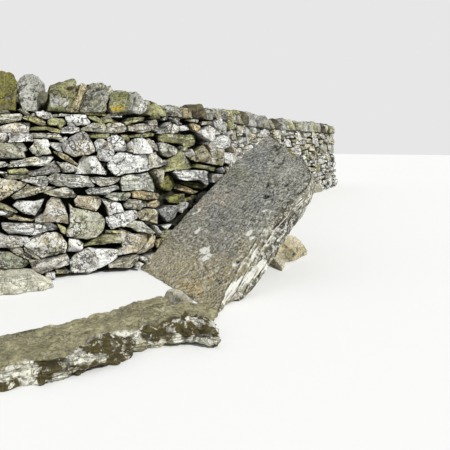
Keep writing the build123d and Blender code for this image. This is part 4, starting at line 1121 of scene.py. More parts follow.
class Nodes:
    """A node tree, and how nodes are added to it."""

    def __init__(self, tree):
        self.tree = tree

    def node(self, kind, settings=None, inputs=None, output=0):
        """Adds a node: its settings first, then the values or links of its sockets."""
        made = self.tree.nodes.new(kind)
        for name, value in (settings or {}).items():
            setattr(made, name, value)
        for socket, value in (inputs or {}).items():
            self.feed(made.inputs[socket], value)
        return Value(self, made.outputs[output])

    def feed(self, socket, value):
        """Links a Value to a socket, or sets a constant on it."""
        if isinstance(value, Value):
            self.tree.links.new(value.socket, socket)
        else:
            socket.default_value = (*value, 1) if socket.type == "RGBA" and len(value) == 3 else value


class Finish(Nodes):
    """A material and the nodes that it is made of."""

    def __init__(self, name):
        self.material = bpy.data.materials.new(name)
        self.material.use_nodes = True
        super().__init__(self.material.node_tree)
        self.shader = self.tree.nodes["Principled BSDF"]
        self.place = self.node("ShaderNodeTexCoord", output="Object")

    def attribute(self, name, output):
        return self.node("ShaderNodeAttribute", {"attribute_name": name}, output=output)

    def axes(self, name):
        """The three numbers of a vector attribute."""
        split = self.node("ShaderNodeSeparateXYZ", {}, {0: self.attribute(name, "Vector")})
        return [Value(self, split.socket.node.outputs[axis]) for axis in "XYZ"]

    def stretched(self, *scale):
        """The place, with its axes stretched."""
        return self.node("ShaderNodeVectorMath", {"operation": "MULTIPLY"}, {0: self.place, 1: scale})

    def grain(self, scale, detail=4.0, roughness=0.6, place=None):
        """Noise over the place."""
        return self.node("ShaderNodeTexNoise", {}, {
            "Vector": place or self.place, "Scale": scale, "Detail": detail, "Roughness": roughness,
        }, "Fac")

    def step(self, value, low, high):
        """0 below low, 1 above high."""
        return self.node("ShaderNodeMapRange", {"interpolation_type": "SMOOTHSTEP"},
                         {"Value": value, "From Min": low, "From Max": high})

    def blend(self, factor, first, second, kind="MIX"):
        """Two colours mixed by a factor."""
        return self.node("ShaderNodeMix", {"data_type": "RGBA", "blend_type": kind, "clamp_factor": True},
                         {0: factor, 6: first, 7: second}, output=2)

    def shaded(self, colour, level):
        """A colour made lighter or darker by a number."""
        grey = self.node("ShaderNodeCombineColor", {}, {0: level, 1: level, 2: level})
        return self.blend(1.0, colour, grey, "MULTIPLY")

    def finish(self, colour, roughness, height, distance):
        """Feeds the shader and returns the material."""
        bump = self.node("ShaderNodeBump", {}, {"Strength": 1.0, "Distance": distance, "Height": height})
        for name, value in (("Base Color", colour), ("Roughness", roughness), ("Normal", bump),
                            ("Specular IOR Level", SPECULAR)):
            self.feed(self.shader.inputs[name], value)
        return self.material


def stone_finish(name, lichen_colour, moss_colour, shade, worn):
    """Weathered limestone: mottled by stone, with pale lichen, green growth, cracks, beds, dark blotches, and
    painted shade on tails, undersides and hollows.
    """
    stone = Finish(name)
    stone.place = stone.attribute("grain", "Vector")
    tone = stone.attribute("tone", "Color")
    lichen, moss, deep = stone.axes("growth")
    bedding, orange, warm = stone.axes("marks")
    broad, middle, fine = stone.grain(7, 4), stone.grain(26, 6, 0.7), stone.grain(95, 4, 0.7)
    beds = stone.grain(7, 4, 0.6, stone.stretched(0.4, 0.4, 5.0))
    level = 1.08 + (broad - 0.5) * 1.4 + (middle - 0.5) * 2.2 + (fine - 0.5) * 1.4
    colour = stone.shaded(tone, (level + (beds - 0.5) * bedding * 1.6) * shade)
    rust = stone.step(stone.grain(9, 6, 0.7), 0.50, 0.60) * warm
    colour = stone.blend(rust, colour, RUST)
    blotch = stone.step(stone.grain(22, 7, 0.75), 0.53, 0.56)
    colour = stone.blend(blotch * (0.75 * worn), colour, BLOTCH)
    patch, crust = stone.grain(15, 8, 0.75), stone.grain(70, 5, 0.75)
    pale = stone.step(patch + lichen * 0.18, 0.58, 0.62) * stone.step(crust + lichen * 0.09, 0.47, 0.53)
    colour = stone.blend(pale * (0.14 + lichen * 0.85), colour, lichen_colour)
    green = stone.step(stone.grain(10, 8, 0.7) + moss * 0.17, 0.58, 0.66) * stone.step(middle, 0.36, 0.50)
    colour = stone.blend(green * (0.25 + moss * 0.5), colour, moss_colour)
    spot = stone.step(stone.grain(60, 3, 0.6), 0.47, 0.53) * orange
    colour = stone.blend(spot, colour, ORANGE_LICHEN)
    cracks = stone.step(abs(stone.grain(8, 3, 0.6) - 0.5), 0.024, 0.010)
    cracks = cracks * stone.step(stone.grain(5, 2), 0.46, 0.52)
    lines = stone.step(abs(beds - 0.5), 0.028, 0.010) * bedding
    pits = stone.step(stone.grain(75, 3, 0.65), 0.58, 0.61)
    dark = 1 - (1 - cracks * (0.85 * worn)) * (1 - lines * 0.7) * (1 - pits * (0.7 * worn))
    colour = stone.blend(dark, colour, CRACK)
    # Painted shade: tails in the joints, undersides, bed hollows and holes darkened nearly to black
    colour = stone.blend(deep * 0.92, colour, SHADOW)
    height = middle * 0.5 + fine * 0.4 + crust * 0.4 - dark * 0.6 + (beds - 0.5) * bedding * 1.2
    return stone.finish(colour, 0.86 + broad * 0.12, height, STONE_BUMP)


def slab_finish(name):
    """The leaning slab: a finely pitted grey upper face and pale split beds along its sides."""
    slab = Finish(name)
    slab.place = slab.attribute("grain", "Vector")
    tone = slab.attribute("tone", "Color")
    lichen, moss, deep = slab.axes("growth")
    side, white, warm = slab.axes("marks")
    along = slab.stretched(1.0, 0.85, 1.0)
    broad, middle = slab.grain(6, 6, 0.65), slab.grain(24, 5, 0.75, along)
    fine = slab.grain(75, 4, 0.75, along)
    beds = slab.grain(2.4, 6, 0.65, slab.stretched(1.2, 1.2, 16.0))
    threads = slab.grain(2.2, 4, 0.7, slab.stretched(4.0, 4.0, 60.0))
    light = slab.step(slab.grain(44, 3, 0.6, along), 0.52, 0.58)
    dim = slab.step(slab.grain(38, 3, 0.6, along), 0.52, 0.58)
    flat = 0.78 + (broad - 0.5) * 1.7 + (middle - 0.5) * 2.4 + (fine - 0.5) * 4.4 + light * 0.50 - dim * 0.42
    split = 0.68 + (beds - 0.5) * 3.4 + (threads - 0.5) * 2.8 + (fine - 0.5) * 1.2
    colour = slab.shaded(tone, flat + (split - flat) * side)
    rust = slab.step(slab.grain(9, 6, 0.7), 0.46, 0.60) * warm
    colour = slab.blend(rust * 0.8, colour, SLAB_RUST)
    spots = slab.step(slab.grain(40, 4, 0.7, along) + lichen * 0.05, 0.59, 0.62)
    colour = slab.blend(spots * 0.75, colour, SLAB_SPOT)
    crust = slab.step(slab.grain(20, 8, 0.75) + lichen * 0.15, 0.62, 0.65)
    crust = crust * slab.step(fine + lichen * 0.03, 0.40, 0.46)
    colour = slab.blend(crust * (0.40 + lichen * 0.4), colour, SLAB_CRUST)
    shred = slab.step(beds * 0.6 + threads * 0.4 + white * 0.16, 0.60, 0.63) * side
    colour = slab.blend(shred * 0.9, colour, SLAB_SHRED)
    green = slab.step(slab.grain(14, 7, 0.7) + moss * 0.20, 0.60, 0.70)
    colour = slab.blend(green * (0.30 + moss * 0.5), colour, SLAB_MOSS)
    pits = slab.step(slab.grain(42, 4, 0.7, along), 0.585, 0.615) * (1 - side * 0.7)
    seams = slab.step(beds * 0.5 + threads * 0.5, 0.45, 0.405) * side
    dark = 1 - (1 - pits * 0.75) * (1 - seams * 0.85)
    colour = slab.blend(dark, colour, SLAB_CRACK)
    # Painted shade in the pits, pocks and cracks
    colour = slab.blend(deep * 0.96, colour, SLAB_SHADOW)
    height = (middle * 0.4 + fine * 0.4 - dark * 0.4) * (0.45 + side * 0.55) + (beds + threads * 0.6) * side
    return slab.finish(colour, 0.88 + broad * 0.10, height, SLAB_BUMP)


def hearting_finish(name):
    """Packed rubble in the core, painted nearly black as shade for the gaps between the face stones, with
    painted shade between its pieces and a greenish mottle.
    """
    core = Finish(name)
    cells = core.node("ShaderNodeTexVoronoi", {"feature": "F1"},
                      {"Vector": core.place, "Scale": 16.0, "Randomness": 1.0}, "Distance")
    # Painted shade between the pieces of rubble, away from each cell's middle
    shade = core.step(cells, 0.1, 0.75)
    colour = core.blend(shade, RUBBLE_LIGHT, RUBBLE_DARK)
    colour = core.blend(core.grain(40, 5) * 0.5, colour, RUBBLE_DAMP)
    return core.finish(colour, 0.95, (1 - shade) + core.grain(60, 4) * 0.4, RUBBLE_BUMP)


def material(name):
    """A finish by its name, made on first use."""
    found = bpy.data.materials.get(name)
    if found:
        return found
    if name in LIMESTONES:
        return stone_finish(name, *LIMESTONES[name])
    return slab_finish(name) if name == "slab_limestone" else hearting_finish(name)


# Settings of the add-on


def length(name, description, default, **limits):
    """A property that holds a length in metres."""
    return bpy.props.FloatProperty(name=name, description=description, default=default, subtype="DISTANCE",
                                   unit="LENGTH", **limits)


class FaceSettings(bpy.types.PropertyGroup):
    """Sizes of the face stones"""

    joint: length("Joint", "Usual gap between a stone and its neighbours", 0.005, min=0.001, max=0.03)
    footing_height: length("Footing height", "Height of the course that stands out",
                           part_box("bay_6_footing")[1].z)
    footing_step: length("Footing step", "How far the footing stands out", 0.045)
    hollow_depth: length("Hollow", "Place of the stones at the back of the hollow", -0.11)
    seed: bpy.props.IntProperty(name="Seed", description="Chooses the pattern of the stones", default=5)


class StoneSettings(bpy.types.PropertyGroup):
    """Sizes of the weathered large stones"""

    near_voxel: length("Near grain", "Mesh size of the near cope stones", 0.013)
    far_voxel: length("Far grain", "Mesh size of the other cope stones", 0.024)
    slab_voxel: length("Slab grain", "Mesh size of the leaning slab", 0.014)
    wear: length("Wear", "How rough the weathered skin is", 0.011)


class PinSettings(bpy.types.PropertyGroup):
    """Sizes of the small wedged stones"""

    size: length("Size", "Usual half size of a wedged stone", 0.055, min=0.005, max=0.1)
    seed: bpy.props.IntProperty(name="Seed", description="Chooses the shapes of the wedged stones", default=3)


class StageSettings(bpy.types.PropertyGroup):
    """Floor and lights"""

    floor_colour: bpy.props.FloatVectorProperty(name="Floor", description="Colour of the plain floor",
                                                default=(0.80, 0.80, 0.79), size=3, subtype="COLOR")
    key_power: bpy.props.FloatProperty(name="Key light", description="Strength of the soft sun", default=3.3)
    ambient: bpy.props.FloatProperty(name="Ambient", description="Strength of the surrounding light",
                                     default=0.55)


# Operators


def settle(piece, slot, *nodes):
    """Ties a finished piece to the frame."""
    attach(piece, "root")
    if nodes:
        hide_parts(*nodes)


HIDDEN = 0.07             # a stone whose middle is deeper than this in the slab is left out
UPWARD = Vector((0.013, 0.021, 1))        # a little off the plumb line, to miss the mesh's corners
PAST_SKIN = Vector((0, 0, 1e-4))


def hidden_by(tree, point):
    """Whether a point lies deep inside a closed mesh."""
    crossings = 0
    start = Vector(point)
    while True:
        hit = tree.ray_cast(start, UPWARD)[0]
        if hit is None:
            break
        crossings += 1
        start = hit + PAST_SKIN
    return crossings % 2 == 1 and tree.find_nearest(Vector(point))[3] > HIDDEN


def nodes_of(span):
    """The frame's nodes whose stones lie on a stretch of the strip."""
    if span.endswith("_front"):
        return [span + "_face", span.replace("front", "footing")]
    if span.endswith("_back"):
        return [span + "_face"]
    return [span, "round_end_footing"] if span == "round_end" else [span]


class DRYSTONE_OT_face_stones(bpy.types.Operator):
    """Lays the stones of both faces, the plumb left end and the rounded right end"""

    bl_idname = "drystone.face_stones"
    bl_label = "Face stones"

    def execute(self, context):
        settings = context.scene.drystone_faces
        strip = Strip()
        head = max(vertex.co.z for vertex in CAD["bay_6_hearting"].data.vertices)
        layout = Layout(strip, head, settings.seed)
        layout.add_listed(NEAR_STONES, "face")
        layout.add_listed(DEEP_STONES, "deep", settings.hollow_depth)
        layout.add_listed(HOLLOW_OUTLINE, "hollow")
        layout.fill()
        layout.freeze()
        slab = welded("leaning_slab")
        tree = BVHTree.FromBMesh(slab)
        slab.free()
        gathered = {}
        for index, (along, height) in enumerate(layout.middles):
            span = strip.span_of(along)
            beside = span in ("bay_1_front", "bay_2_front", "bay_3_front")
            if layout.kinds[index] == "hollow" or beside and hidden_by(tree, strip.place(along, height, 0.0)):
                continue
            lay_stone(gathered.setdefault(span, MeshParts()), layout, index, settings)
        for span, parts in sorted(gathered.items()):
            settle(parts.make(f"{span}_stones", material("wall_limestone")), "wall_stone", *nodes_of(span))
        return {"FINISHED"}


# The near cope stones in turn: look, tilt of their beds in degrees, how far they are split along them
COPE_LOOKS = {
    1: [("grey", 5, 0.3), ("olive", 0, 0.2), ("pale", -8, 0.4), ("olive", 10, 0.3), ("brown", 0, 0.3),
        ("gold", 86, 0.5), ("grey", 15, 0.2), ("fern", 30, 0.3), ("lit_tan", 55, 0.6), ("green", 38, 0.8),
        ("fern", -20, 0.3)],
    2: [("grey", 60, 0.2), ("olive", -10, 0.3), ("grey", -30, 0.9), ("ochre", 0, 0.3), ("peat", 20, 0.4),
        ("grey", 0, 0.3)],
}
FAR_COPE_LOOKS = ["pale", "grey", "green", "white", "olive", "brown", "slate", "grey", "peat"]
FAR_COPE_TILT, FAR_COPE_BEDS = 22, (0.2, 0.9)
COPE_SWELL = 0.010        # what a cope stone gains before it is worn
COPE_CUTS = 9
COPE_CHANCE = 11          # seed of the far ones' looks
NEAR_COPE_BAYS = 2


def cope_rows():
    """For each row of cope stones: its bay, node, heading and stones."""
    strip = Strip()
    for bay in range(1, BAYS + 2):
        first = min(bay, BAYS) - 1
        side = strip.feet[first + 1] - strip.feet[first]
        node = f"bay_{bay}_cope" if bay <= BAYS else "round_end_cope"
        yield bay, node, math.atan2(side[1], side[0]), loose_parts(node)


class DRYSTONE_OT_cope_stones(bpy.types.Operator):
    """Weathers the cope stones along the top of the wall"""

    bl_idname = "drystone.cope_stones"
    bl_label = "Cope stones"

    def execute(self, context):
        settings = context.scene.drystone_stones
        rng = np.random.default_rng(COPE_CHANCE)
        for bay, node, heading, stones in cope_rows():
            parts = MeshParts()
            voxel = settings.near_voxel if bay <= NEAR_COPE_BAYS else settings.far_voxel
            listed = COPE_LOOKS.get(bay, [])
            for order, (points, faces) in enumerate(stones):
                look = FAR_COPE_LOOKS[int(rng.integers(len(FAR_COPE_LOOKS)))]
                tilt, bedding = rng.normal(0, FAR_COPE_TILT), rng.uniform(*FAR_COPE_BEDS)
                if order < len(listed):
                    look, tilt, bedding = listed[order]
                points, normals, faces = remeshed(points, faces, voxel, 2)
                points = points + normals * COPE_SWELL
                points[:, 2] = np.maximum(points[:, 2], points[:, 2].min() + COPE_SWELL)
                worn_stone(parts, (points, normals, faces), look, 40 * bay + order, settings.wear, COPE_CUTS,
                           heading, tilt, bedding)
            settle(parts.make(node + "_stones", material("cope_limestone")), "cope_stone", node)
        return {"FINISHED"}


def slab_relief(slab, points, place, shown, top):
    """Relief of the slab's skin, with how deep its holes are, and how much painted shade its pits, pocks and
    cracks get.
    """
    side = 1 - top
    lift = 0.006 * rough(points, *SLAB_SWELLS) + 0.0028 * rough(points, *SLAB_DENTS)
    beds = rough(place * FLAT_BEDS, *SLAB_BEDS)
    lift += side * (0.012 * np.round(beds * 2.2) / 2.2 + 0.004 * rough(points, *SIDE_DENTS))
    deep = np.zeros(len(points))
    for x, y, radius in SLAB_PITS:
        hole = top * np.exp(-(slab.from_point(place, x, y) / radius) ** 2)
        lift -= PIT_DEPTH * hole
        deep = np.maximum(deep, smooth(0.25, 0.6, hole))
    x, y, wide, high = SLAB_POCKS
    pocks = smooth(1.2, 0.6, np.hypot((shown[:, 0] - x) / wide, (shown[:, 1] - y) / high)) * top
    pocks *= smooth(0.0, 0.30, noise(points, *POCKING))
    lift -= POCK_DEPTH * pocks
    deep = np.maximum(deep, 0.95 * pocks)
    for route in SLAB_CRACKS:
        gap = slab.from_route(place, route) + 0.008 * rough(points, *CRACK_WANDER)
        line = top * smooth(0.010, 0.003, gap) * 0.7
        lift -= CRACK_DEPTH * line
        deep = np.maximum(deep, 0.6 * line)
    return lift, deep


def slab_growth(slab, points, place, shown, side):
    """How much lichen, moss and white crust is on the slab's skin."""
    lichen, moss, white = 0.45 + 0.2 * side, 0.10 + 0.12 * side, np.zeros(len(points))
    ragged = rough(points, *LICHEN_EDGE)
    for x, y, radius in SLAB_LICHENS:
        gap = slab.from_point(place, x, y) * (1 + 0.5 * ragged)
        lichen += 1.3 * smooth(radius * 1.2, radius * 0.6, gap)
    ragged = rough(points, *MOSS_EDGE)
    for route, radius in SLAB_MOSSES:
        gap = slab.from_route(place, route) + 0.5 * radius * ragged
        moss += 1.4 * smooth(radius, radius * 0.3, gap) * smooth(0.10, 0.03, place[:, 2])
    ragged = rough(points, *WHITE_EDGE)
    for ends, radius, strength in SLAB_WHITES:
        white += strength * smooth(1.3, 0.6, away_from(shown, *ends) / radius + 0.25 * ragged)
    return lichen, moss, white


def slab_tone(points, shown, side, stain):
    """Colour of the slab's stone."""
    shade = SLAB_GREY + (SLAB_OCHRE - SLAB_GREY) * stain[:, None]
    ragged = 0.35 * rough(points, *TINT_EDGE)
    for (x, y), radius, tint in SLAB_TINTS:
        gap = np.hypot(shown[:, 0] - x, shown[:, 1] - y) / radius + ragged
        shade += (np.array(tint) - shade) * (smooth(1.15, 0.55, gap) * 0.9)[:, None]
    shade = shade + (SLAB_SIDE - shade) * (side * 0.9)[:, None]
    ends, radius = SLAB_DARK_STREAK
    streak_darkening = smooth(1.2, 0.6, away_from(shown, *ends) / radius) * side
    return shade * (1 - 0.55 * streak_darkening)[:, None]


class DRYSTONE_OT_leaning_slab(bpy.types.Operator):
    """Weathers the great leaning slab"""

    bl_idname = "drystone.leaning_slab"
    bl_label = "Leaning slab"

    def execute(self, context):
        settings = context.scene.drystone_stones
        slab = SlabFrame()
        (points, faces), = loose_parts("leaning_slab")
        points, normals, quads = remeshed(points, faces, settings.slab_voxel, 3)
        place, shown = slab.coordinates(points), shown_at(points)
        top = smooth(0.72, 0.95, normals @ slab.normal)
        side = 1 - top
        lift, deep = slab_relief(slab, points, place, shown, top)
        lichen, moss, white = slab_growth(slab, points, place, shown, side)
        stain = smooth(0.85, 0.0, place[:, 0] + 0.22 * rough(points, *STAIN_WANDER)) * 0.8
        tone = slab_tone(points, shown, side, stain)
        skin = points + normals * lift[:, None]
        skin[:, 2] = np.maximum(skin[:, 2], 0.0)
        parts = MeshParts()
        parts.add(skin, quads, tone=np.column_stack([tone, np.ones(len(skin))]),
                  growth=np.column_stack([lichen, moss, deep]),
                  marks=np.column_stack([side, white, stain]), grain=place)
        settle(parts.make("leaning_slab_stone", material("slab_limestone")), "slab_stone", "leaning_slab")
        return {"FINISHED"}


# Stones on the ground: look, flat faces broken off them and share of wear
GROUND_STONES = {
    "fallen_slab": ("sill", 0, 0.8), "toe_stone": ("brown", 3, 0.6), "prop_stone_large": ("sand", 3, 0.5),
    "prop_stone_small": ("tan", 3, 0.5), "front_footing_stone": ("pale", 0, 0.8),
}
GROUND_SEED = 60
GROUND_BEDS = 0.3         # how far they are split along their beds, for full wear
FINER_VOXEL = 0.8         # their mesh size against the leaning slab's
# Where the fallen slab's worn top ends and its broken front begins, in the photograph
FALLEN_BROW = np.array([(-10, 367), (14, 366), (43, 358), (63, 354), (86, 338), (118, 330), (141, 327),
                        (172, 317), (187, 309), (203, 315), (216, 325)])


def broken_front(points):
    """Which points of the fallen slab are on its broken front."""
    shown = shown_at(points)
    below = shown[:, 1] - np.interp(shown[:, 0], FALLEN_BROW[:, 0], FALLEN_BROW[:, 1])
    return smooth(-1.5, 3.0, below + 3.0 * rough(points, 0.10, 3, 83))


class DRYSTONE_OT_ground_stones(bpy.types.Operator):
    """Weathers the stones that lie on the ground"""

    bl_idname = "drystone.ground_stones"
    bl_label = "Ground stones"

    def execute(self, context):
        settings = context.scene.drystone_stones
        for order, (name, (look, cuts, wear)) in enumerate(GROUND_STONES.items()):
            parts = MeshParts()
            for points, faces in loose_parts(name):
                skin = remeshed(points, faces, settings.slab_voxel * FINER_VOXEL, 1)
                broken = broken_front(skin[0]) if name == "fallen_slab" else 0.0
                worn_stone(parts, skin, look, GROUND_SEED + order, settings.wear * wear, cuts,
                           bedding=GROUND_BEDS * wear, broken=broken)
            settle(parts.make(name + "_rock", material("ground_limestone")), "ground_stone", name)
        return {"FINISHED"}


PIN_SHARES = (0.22, 0.5, 0.78)    # of the wall's width, where the pins between two cope stones are
PIN_LEVELS = (0.10, 0.45)         # of the cope's height
PIN_SHAPES = 4
PIN_ROUGHNESS = (-0.34,) * 3, (0.22,) * 3
PIN_TURNS = (-0.5, -0.5, 0), (0.5, 0.5, 6.28)
PIN_SCALES = (0.6, 0.6, 0.5), (1.15, 1.3, 1.2)
PIN_TINTS = (0.09, 0.09, 0.04), (0.30, 0.29, 0.19)


def pin_places(rng):
    """Where small stones are wedged between neighbours of the cope."""
    places = []
    for bay, _, heading, stones in cope_rows():
        if bay > BAYS:
            continue
        ahead = np.array([math.cos(heading), math.sin(heading), 0])
        inward = np.array([-ahead[1], ahead[0], 0])
        for (left, _), (right, _) in zip(stones, stones[1:]):
            left, right = np.array(left), np.array(right)
            foot = (left @ ahead).max() / 2 + (right @ ahead).min() / 2
            low, tall = left[:, 2].min(), min(left[:, 2].max(), right[:, 2].max())
            front, back = (left @ inward).min(), (left @ inward).max()
            for share in PIN_SHARES:
                level = low + (tall - low) * rng.uniform(*PIN_LEVELS)
                depth = front + (back - front) * (share + rng.uniform(-0.08, 0.08))
                places.append(ahead * (foot + rng.normal(0, 0.01)) + inward * depth + [0, 0, level])
    return [tuple(place) for place in places]


class DRYSTONE_OT_pinning(bpy.types.Operator):
    """Wedges small stones between neighbouring cope stones"""

    bl_idname = "drystone.pinning"
    bl_label = "Pinning stones"

    def execute(self, context):
        settings = context.scene.drystone_pins
        cloud = bpy.data.meshes.new("pin_places")
        cloud.from_pydata(pin_places(np.random.default_rng(settings.seed)), [], [])
        source = linked("pin_places", cloud)
        tree = pinning_tree(material("cope_limestone"))
        wedged = source.modifiers.new("pinning", "NODES")
        wedged.node_group = tree
        for name, value in (("Size", settings.size), ("Seed", settings.seed)):
            wedged[tree.interface.items_tree[name].identifier] = value
        made = bpy.data.meshes.new_from_object(source.evaluated_get(context.evaluated_depsgraph_get()))
        source.modifiers.remove(wedged)
        bpy.data.objects.remove(source)
        made.name = "pinning_stones"
        settle(linked("pinning_stones", made), "wall_stone")
        return {"FINISHED"}


def pinning_tree(stone):
    """Nodes that set a small broken stone, one of a few, at each vertex."""
    tree = bpy.data.node_groups.new("pinning_stones", "GeometryNodeTree")
    for name, kind, way in (("Places", "NodeSocketGeometry", "INPUT"), ("Size", "NodeSocketFloat", "INPUT"),
                            ("Seed", "NodeSocketInt", "INPUT"), ("Stones", "NodeSocketGeometry", "OUTPUT")):
        tree.interface.new_socket(name, in_out=way, socket_type=kind)
    nodes = Nodes(tree)
    node = nodes.node
    places, size, seed = (node("NodeGroupInput", output=name) for name in ("Places", "Size", "Seed"))

    def chance(step, low, high, kind="FLOAT_VECTOR"):
        """A random value for each element, from a seed of its own."""
        made = node("FunctionNodeRandomValue", {"data_type": kind}, {"Seed": seed + step}).socket.node
        for socket, value in zip([socket for socket in made.inputs if socket.enabled], (low, high)):
            socket.default_value = value
        return Value(nodes, next(socket for socket in made.outputs if socket.enabled))

    bundle = node("GeometryNodeGeometryToInstance")
    for shape in range(PIN_SHAPES):
        ball = node("GeometryNodeMeshIcoSphere", {}, {"Radius": 1.0, "Subdivisions": 1}, "Mesh")
        jolt = chance(shape * 5 + 1, *PIN_ROUGHNESS)
        bent = node("GeometryNodeSetPosition", {}, {"Geometry": ball, "Offset": jolt})
        nodes.feed(bundle.socket.node.inputs[0], node("GeometryNodeConvexHull", {}, {"Geometry": bent}))
    scale = node("ShaderNodeVectorMath", {"operation": "SCALE"}, {0: chance(43, *PIN_SCALES), "Scale": size})
    stones = node("GeometryNodeInstanceOnPoints", {}, {
        "Points": places, "Instance": bundle, "Pick Instance": True,
        "Instance Index": chance(41, 0, PIN_SHAPES - 1, "INT"),
        "Rotation": chance(42, *PIN_TURNS), "Scale": scale,
    })
    tint = node("ShaderNodeMix", {"data_type": "VECTOR"},
                {0: chance(44, 0.0, 1.0, "FLOAT"), 4: PIN_TINTS[0], 5: PIN_TINTS[1]}, 1)
    stones = node("GeometryNodeStoreNamedAttribute", {"data_type": "FLOAT_VECTOR", "domain": "INSTANCE"},
                  {"Geometry": stones, "Name": "tone", "Value": tint})
    stones = node("GeometryNodeRealizeInstances", {}, {"Geometry": stones})
    stones = node("GeometryNodeStoreNamedAttribute", {"data_type": "FLOAT_VECTOR", "domain": "POINT"},
                  {"Geometry": stones, "Name": "grain", "Value": node("GeometryNodeInputPosition")})
    stones = node("GeometryNodeSetShadeSmooth", {}, {"Geometry": stones, "Shade Smooth": False})
    stones = node("GeometryNodeSetMaterial", {}, {"Geometry": stones, "Material": stone})
    nodes.feed(tree.nodes.new("NodeGroupOutput").inputs[0], stones)
    return tree


CORE_SET_BACK = 0.12      # of the core behind the faces
CORE_DROP = 0.02          # of its head under the bed of the cope
CHEEK = 0.33              # thickness of the plumb left end


def core_block(name, strip, marks, foot, head):
    """A closed block of rubble inside the stones, over a ring of marks on the strip."""
    count = len(marks)
    out = np.full(count, -CORE_SET_BACK)
    points = [strip.place(marks, np.full(count, level), out) for level in (foot, head)]
    faces = [tuple(reversed(range(count))), tuple(range(count, 2 * count))]
    faces += [(a, (a + 1) % count, (a + 1) % count + count, a + count) for a in range(count)]
    mesh = bpy.data.meshes.new(name)
    mesh.from_pydata(np.concatenate(points).tolist(), [], faces)
    mesh.materials.append(material("hearting_rubble"))
    settle(linked(name, mesh), "hearting")


class DRYSTONE_OT_hearting(bpy.types.Operator):
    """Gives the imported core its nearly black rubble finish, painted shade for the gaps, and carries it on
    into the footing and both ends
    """

    bl_idname = "drystone.hearting"
    bl_label = "Hearting"

    def execute(self, context):
        for bay in range(1, BAYS + 1):
            core = CAD[f"bay_{bay}_hearting"]
            core.data.materials.clear()
            core.data.materials.append(material("hearting_rubble"))
        strip = Strip()
        low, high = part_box("bay_6_hearting")
        foot, head = low.z, high.z - CORE_DROP
        core_block("footing_core", strip, strip.marks[:-1], 0.002, foot)
        core_block("round_end_core", strip, strip.marks[BAYS:BAYS + strip.ARC_STEPS + 1], foot, head)
        ends = [strip.back_end - CHEEK, strip.back_end, 0, CHEEK]
        core_block("left_end_core", strip, ends, foot, head)
        return {"FINISHED"}


FLOOR_SIZE = 90
FLOOR_DROP = 0.002        # keeps it clear of the stones' undersides
FLOOR_ROUGHNESS = 0.9
WORLD_WHITE, BACKDROP = (1, 1, 1), (0.8, 0.8, 0.8)
SUN_RIGHT, SUN_BACK, SUN_UP = 0.64, 0.55, 0.68        # where it stands from the camera's aim
SUN_SPREAD = 5            # in degrees, for soft shadows


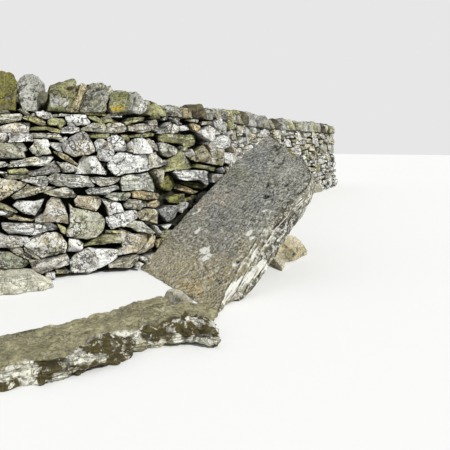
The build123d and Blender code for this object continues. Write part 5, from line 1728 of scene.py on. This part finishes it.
class DRYSTONE_OT_stage(bpy.types.Operator):
    """Adds the plain floor, the soft lights and the camera"""

    bl_idname = "drystone.stage"
    bl_label = "Stage"

    def execute(self, context):
        settings = context.scene.drystone_stage
        scene = context.scene
        bpy.ops.mesh.primitive_plane_add(size=FLOOR_SIZE, location=(0, 0, -FLOOR_DROP))
        floor = context.object
        floor.name = "floor"
        ground = Finish("floor")
        ground.feed(ground.shader.inputs["Base Color"], tuple(settings.floor_colour))
        ground.feed(ground.shader.inputs["Roughness"], FLOOR_ROUGHNESS)
        floor.data.materials.append(ground.material)

        # the surrounding light, and the backdrop that the camera sees in its place
        world = bpy.data.worlds.new("studio")
        world.use_nodes = True
        studio = Nodes(world.node_tree)
        seen = studio.node("ShaderNodeMath", {"operation": "MAXIMUM"}, {
            0: studio.node("ShaderNodeLightPath", output="Is Camera Ray"),
            1: studio.node("ShaderNodeLightPath", output="Is Glossy Ray"),
        })
        light = studio.node("ShaderNodeBackground", {}, {"Color": WORLD_WHITE, "Strength": settings.ambient})
        backdrop = studio.node("ShaderNodeBackground", {}, {"Color": BACKDROP, "Strength": 1.0})
        mixed = studio.node("ShaderNodeMixShader", {}, {0: seen, 1: light, 2: backdrop})
        studio.feed(world.node_tree.nodes["World Output"].inputs["Surface"], mixed)
        scene.world = world

        right, _, forward = camera_axes()
        level = np.array([forward[0], forward[1], 0]) / math.hypot(forward[0], forward[1])
        key = bpy.data.lights.new("key", "SUN")
        key.energy = settings.key_power
        key.angle = math.radians(SUN_SPREAD)
        lamp = linked("key", key)
        toward = Vector(-(right * SUN_RIGHT - level * SUN_BACK + np.array([0, 0, SUN_UP])))
        lamp.rotation_euler = toward.to_track_quat("-Z", "Y").to_euler()

        lens = bpy.data.cameras.new("camera")
        lens.lens = CAMERA_LENS
        lens.sensor_width = CAMERA_SENSOR
        camera = linked("camera", lens)
        camera.location = CAMERA_PLACE
        camera.rotation_euler = Euler((math.radians(90 - CAMERA_DROP), 0, math.radians(CAMERA_HEADING - 90)))
        scene.camera = camera
        scene.view_settings.view_transform = "Standard"
        return {"FINISHED"}


class DRYSTONE_PT_panel(bpy.types.Panel):
    """Lists the steps that build the wall"""

    bl_label = "Dry Stone Wall"
    bl_idname = "DRYSTONE_PT_panel"
    bl_space_type = "VIEW_3D"
    bl_region_type = "UI"
    bl_category = "Dry Stone"

    def draw(self, context):
        layout = self.layout
        for group in (getattr(context.scene, name) for name in GROUPS):
            box = layout.box()
            for name in group.bl_rna.properties.keys():
                if name not in ("rna_type", "name"):
                    box.prop(group, name)
        for operator in OPERATORS:
            layout.operator(operator.bl_idname)


OPERATORS = (
    DRYSTONE_OT_stage, DRYSTONE_OT_hearting, DRYSTONE_OT_cope_stones, DRYSTONE_OT_leaning_slab,
    DRYSTONE_OT_ground_stones, DRYSTONE_OT_pinning, DRYSTONE_OT_face_stones,
)
GROUPS = {
    "drystone_faces": FaceSettings, "drystone_stones": StoneSettings, "drystone_pins": PinSettings,
    "drystone_stage": StageSettings,
}


def register():
    for name, group in GROUPS.items():
        bpy.utils.register_class(group)
        setattr(bpy.types.Scene, name, bpy.props.PointerProperty(type=group))
    for operator in OPERATORS:
        bpy.utils.register_class(operator)
    bpy.utils.register_class(DRYSTONE_PT_panel)


def unregister():
    bpy.utils.unregister_class(DRYSTONE_PT_panel)
    for operator in reversed(OPERATORS):
        bpy.utils.unregister_class(operator)
    for name, group in reversed(GROUPS.items()):
        delattr(bpy.types.Scene, name)
        bpy.utils.unregister_class(group)


def main():
    register()
    bpy.ops.drystone.stage()
    bpy.ops.drystone.hearting()
    bpy.ops.drystone.cope_stones()
    bpy.ops.drystone.leaning_slab()
    bpy.ops.drystone.ground_stones()
    bpy.ops.drystone.pinning()
    bpy.ops.drystone.face_stones()


if __name__ == "__main__":
    main()
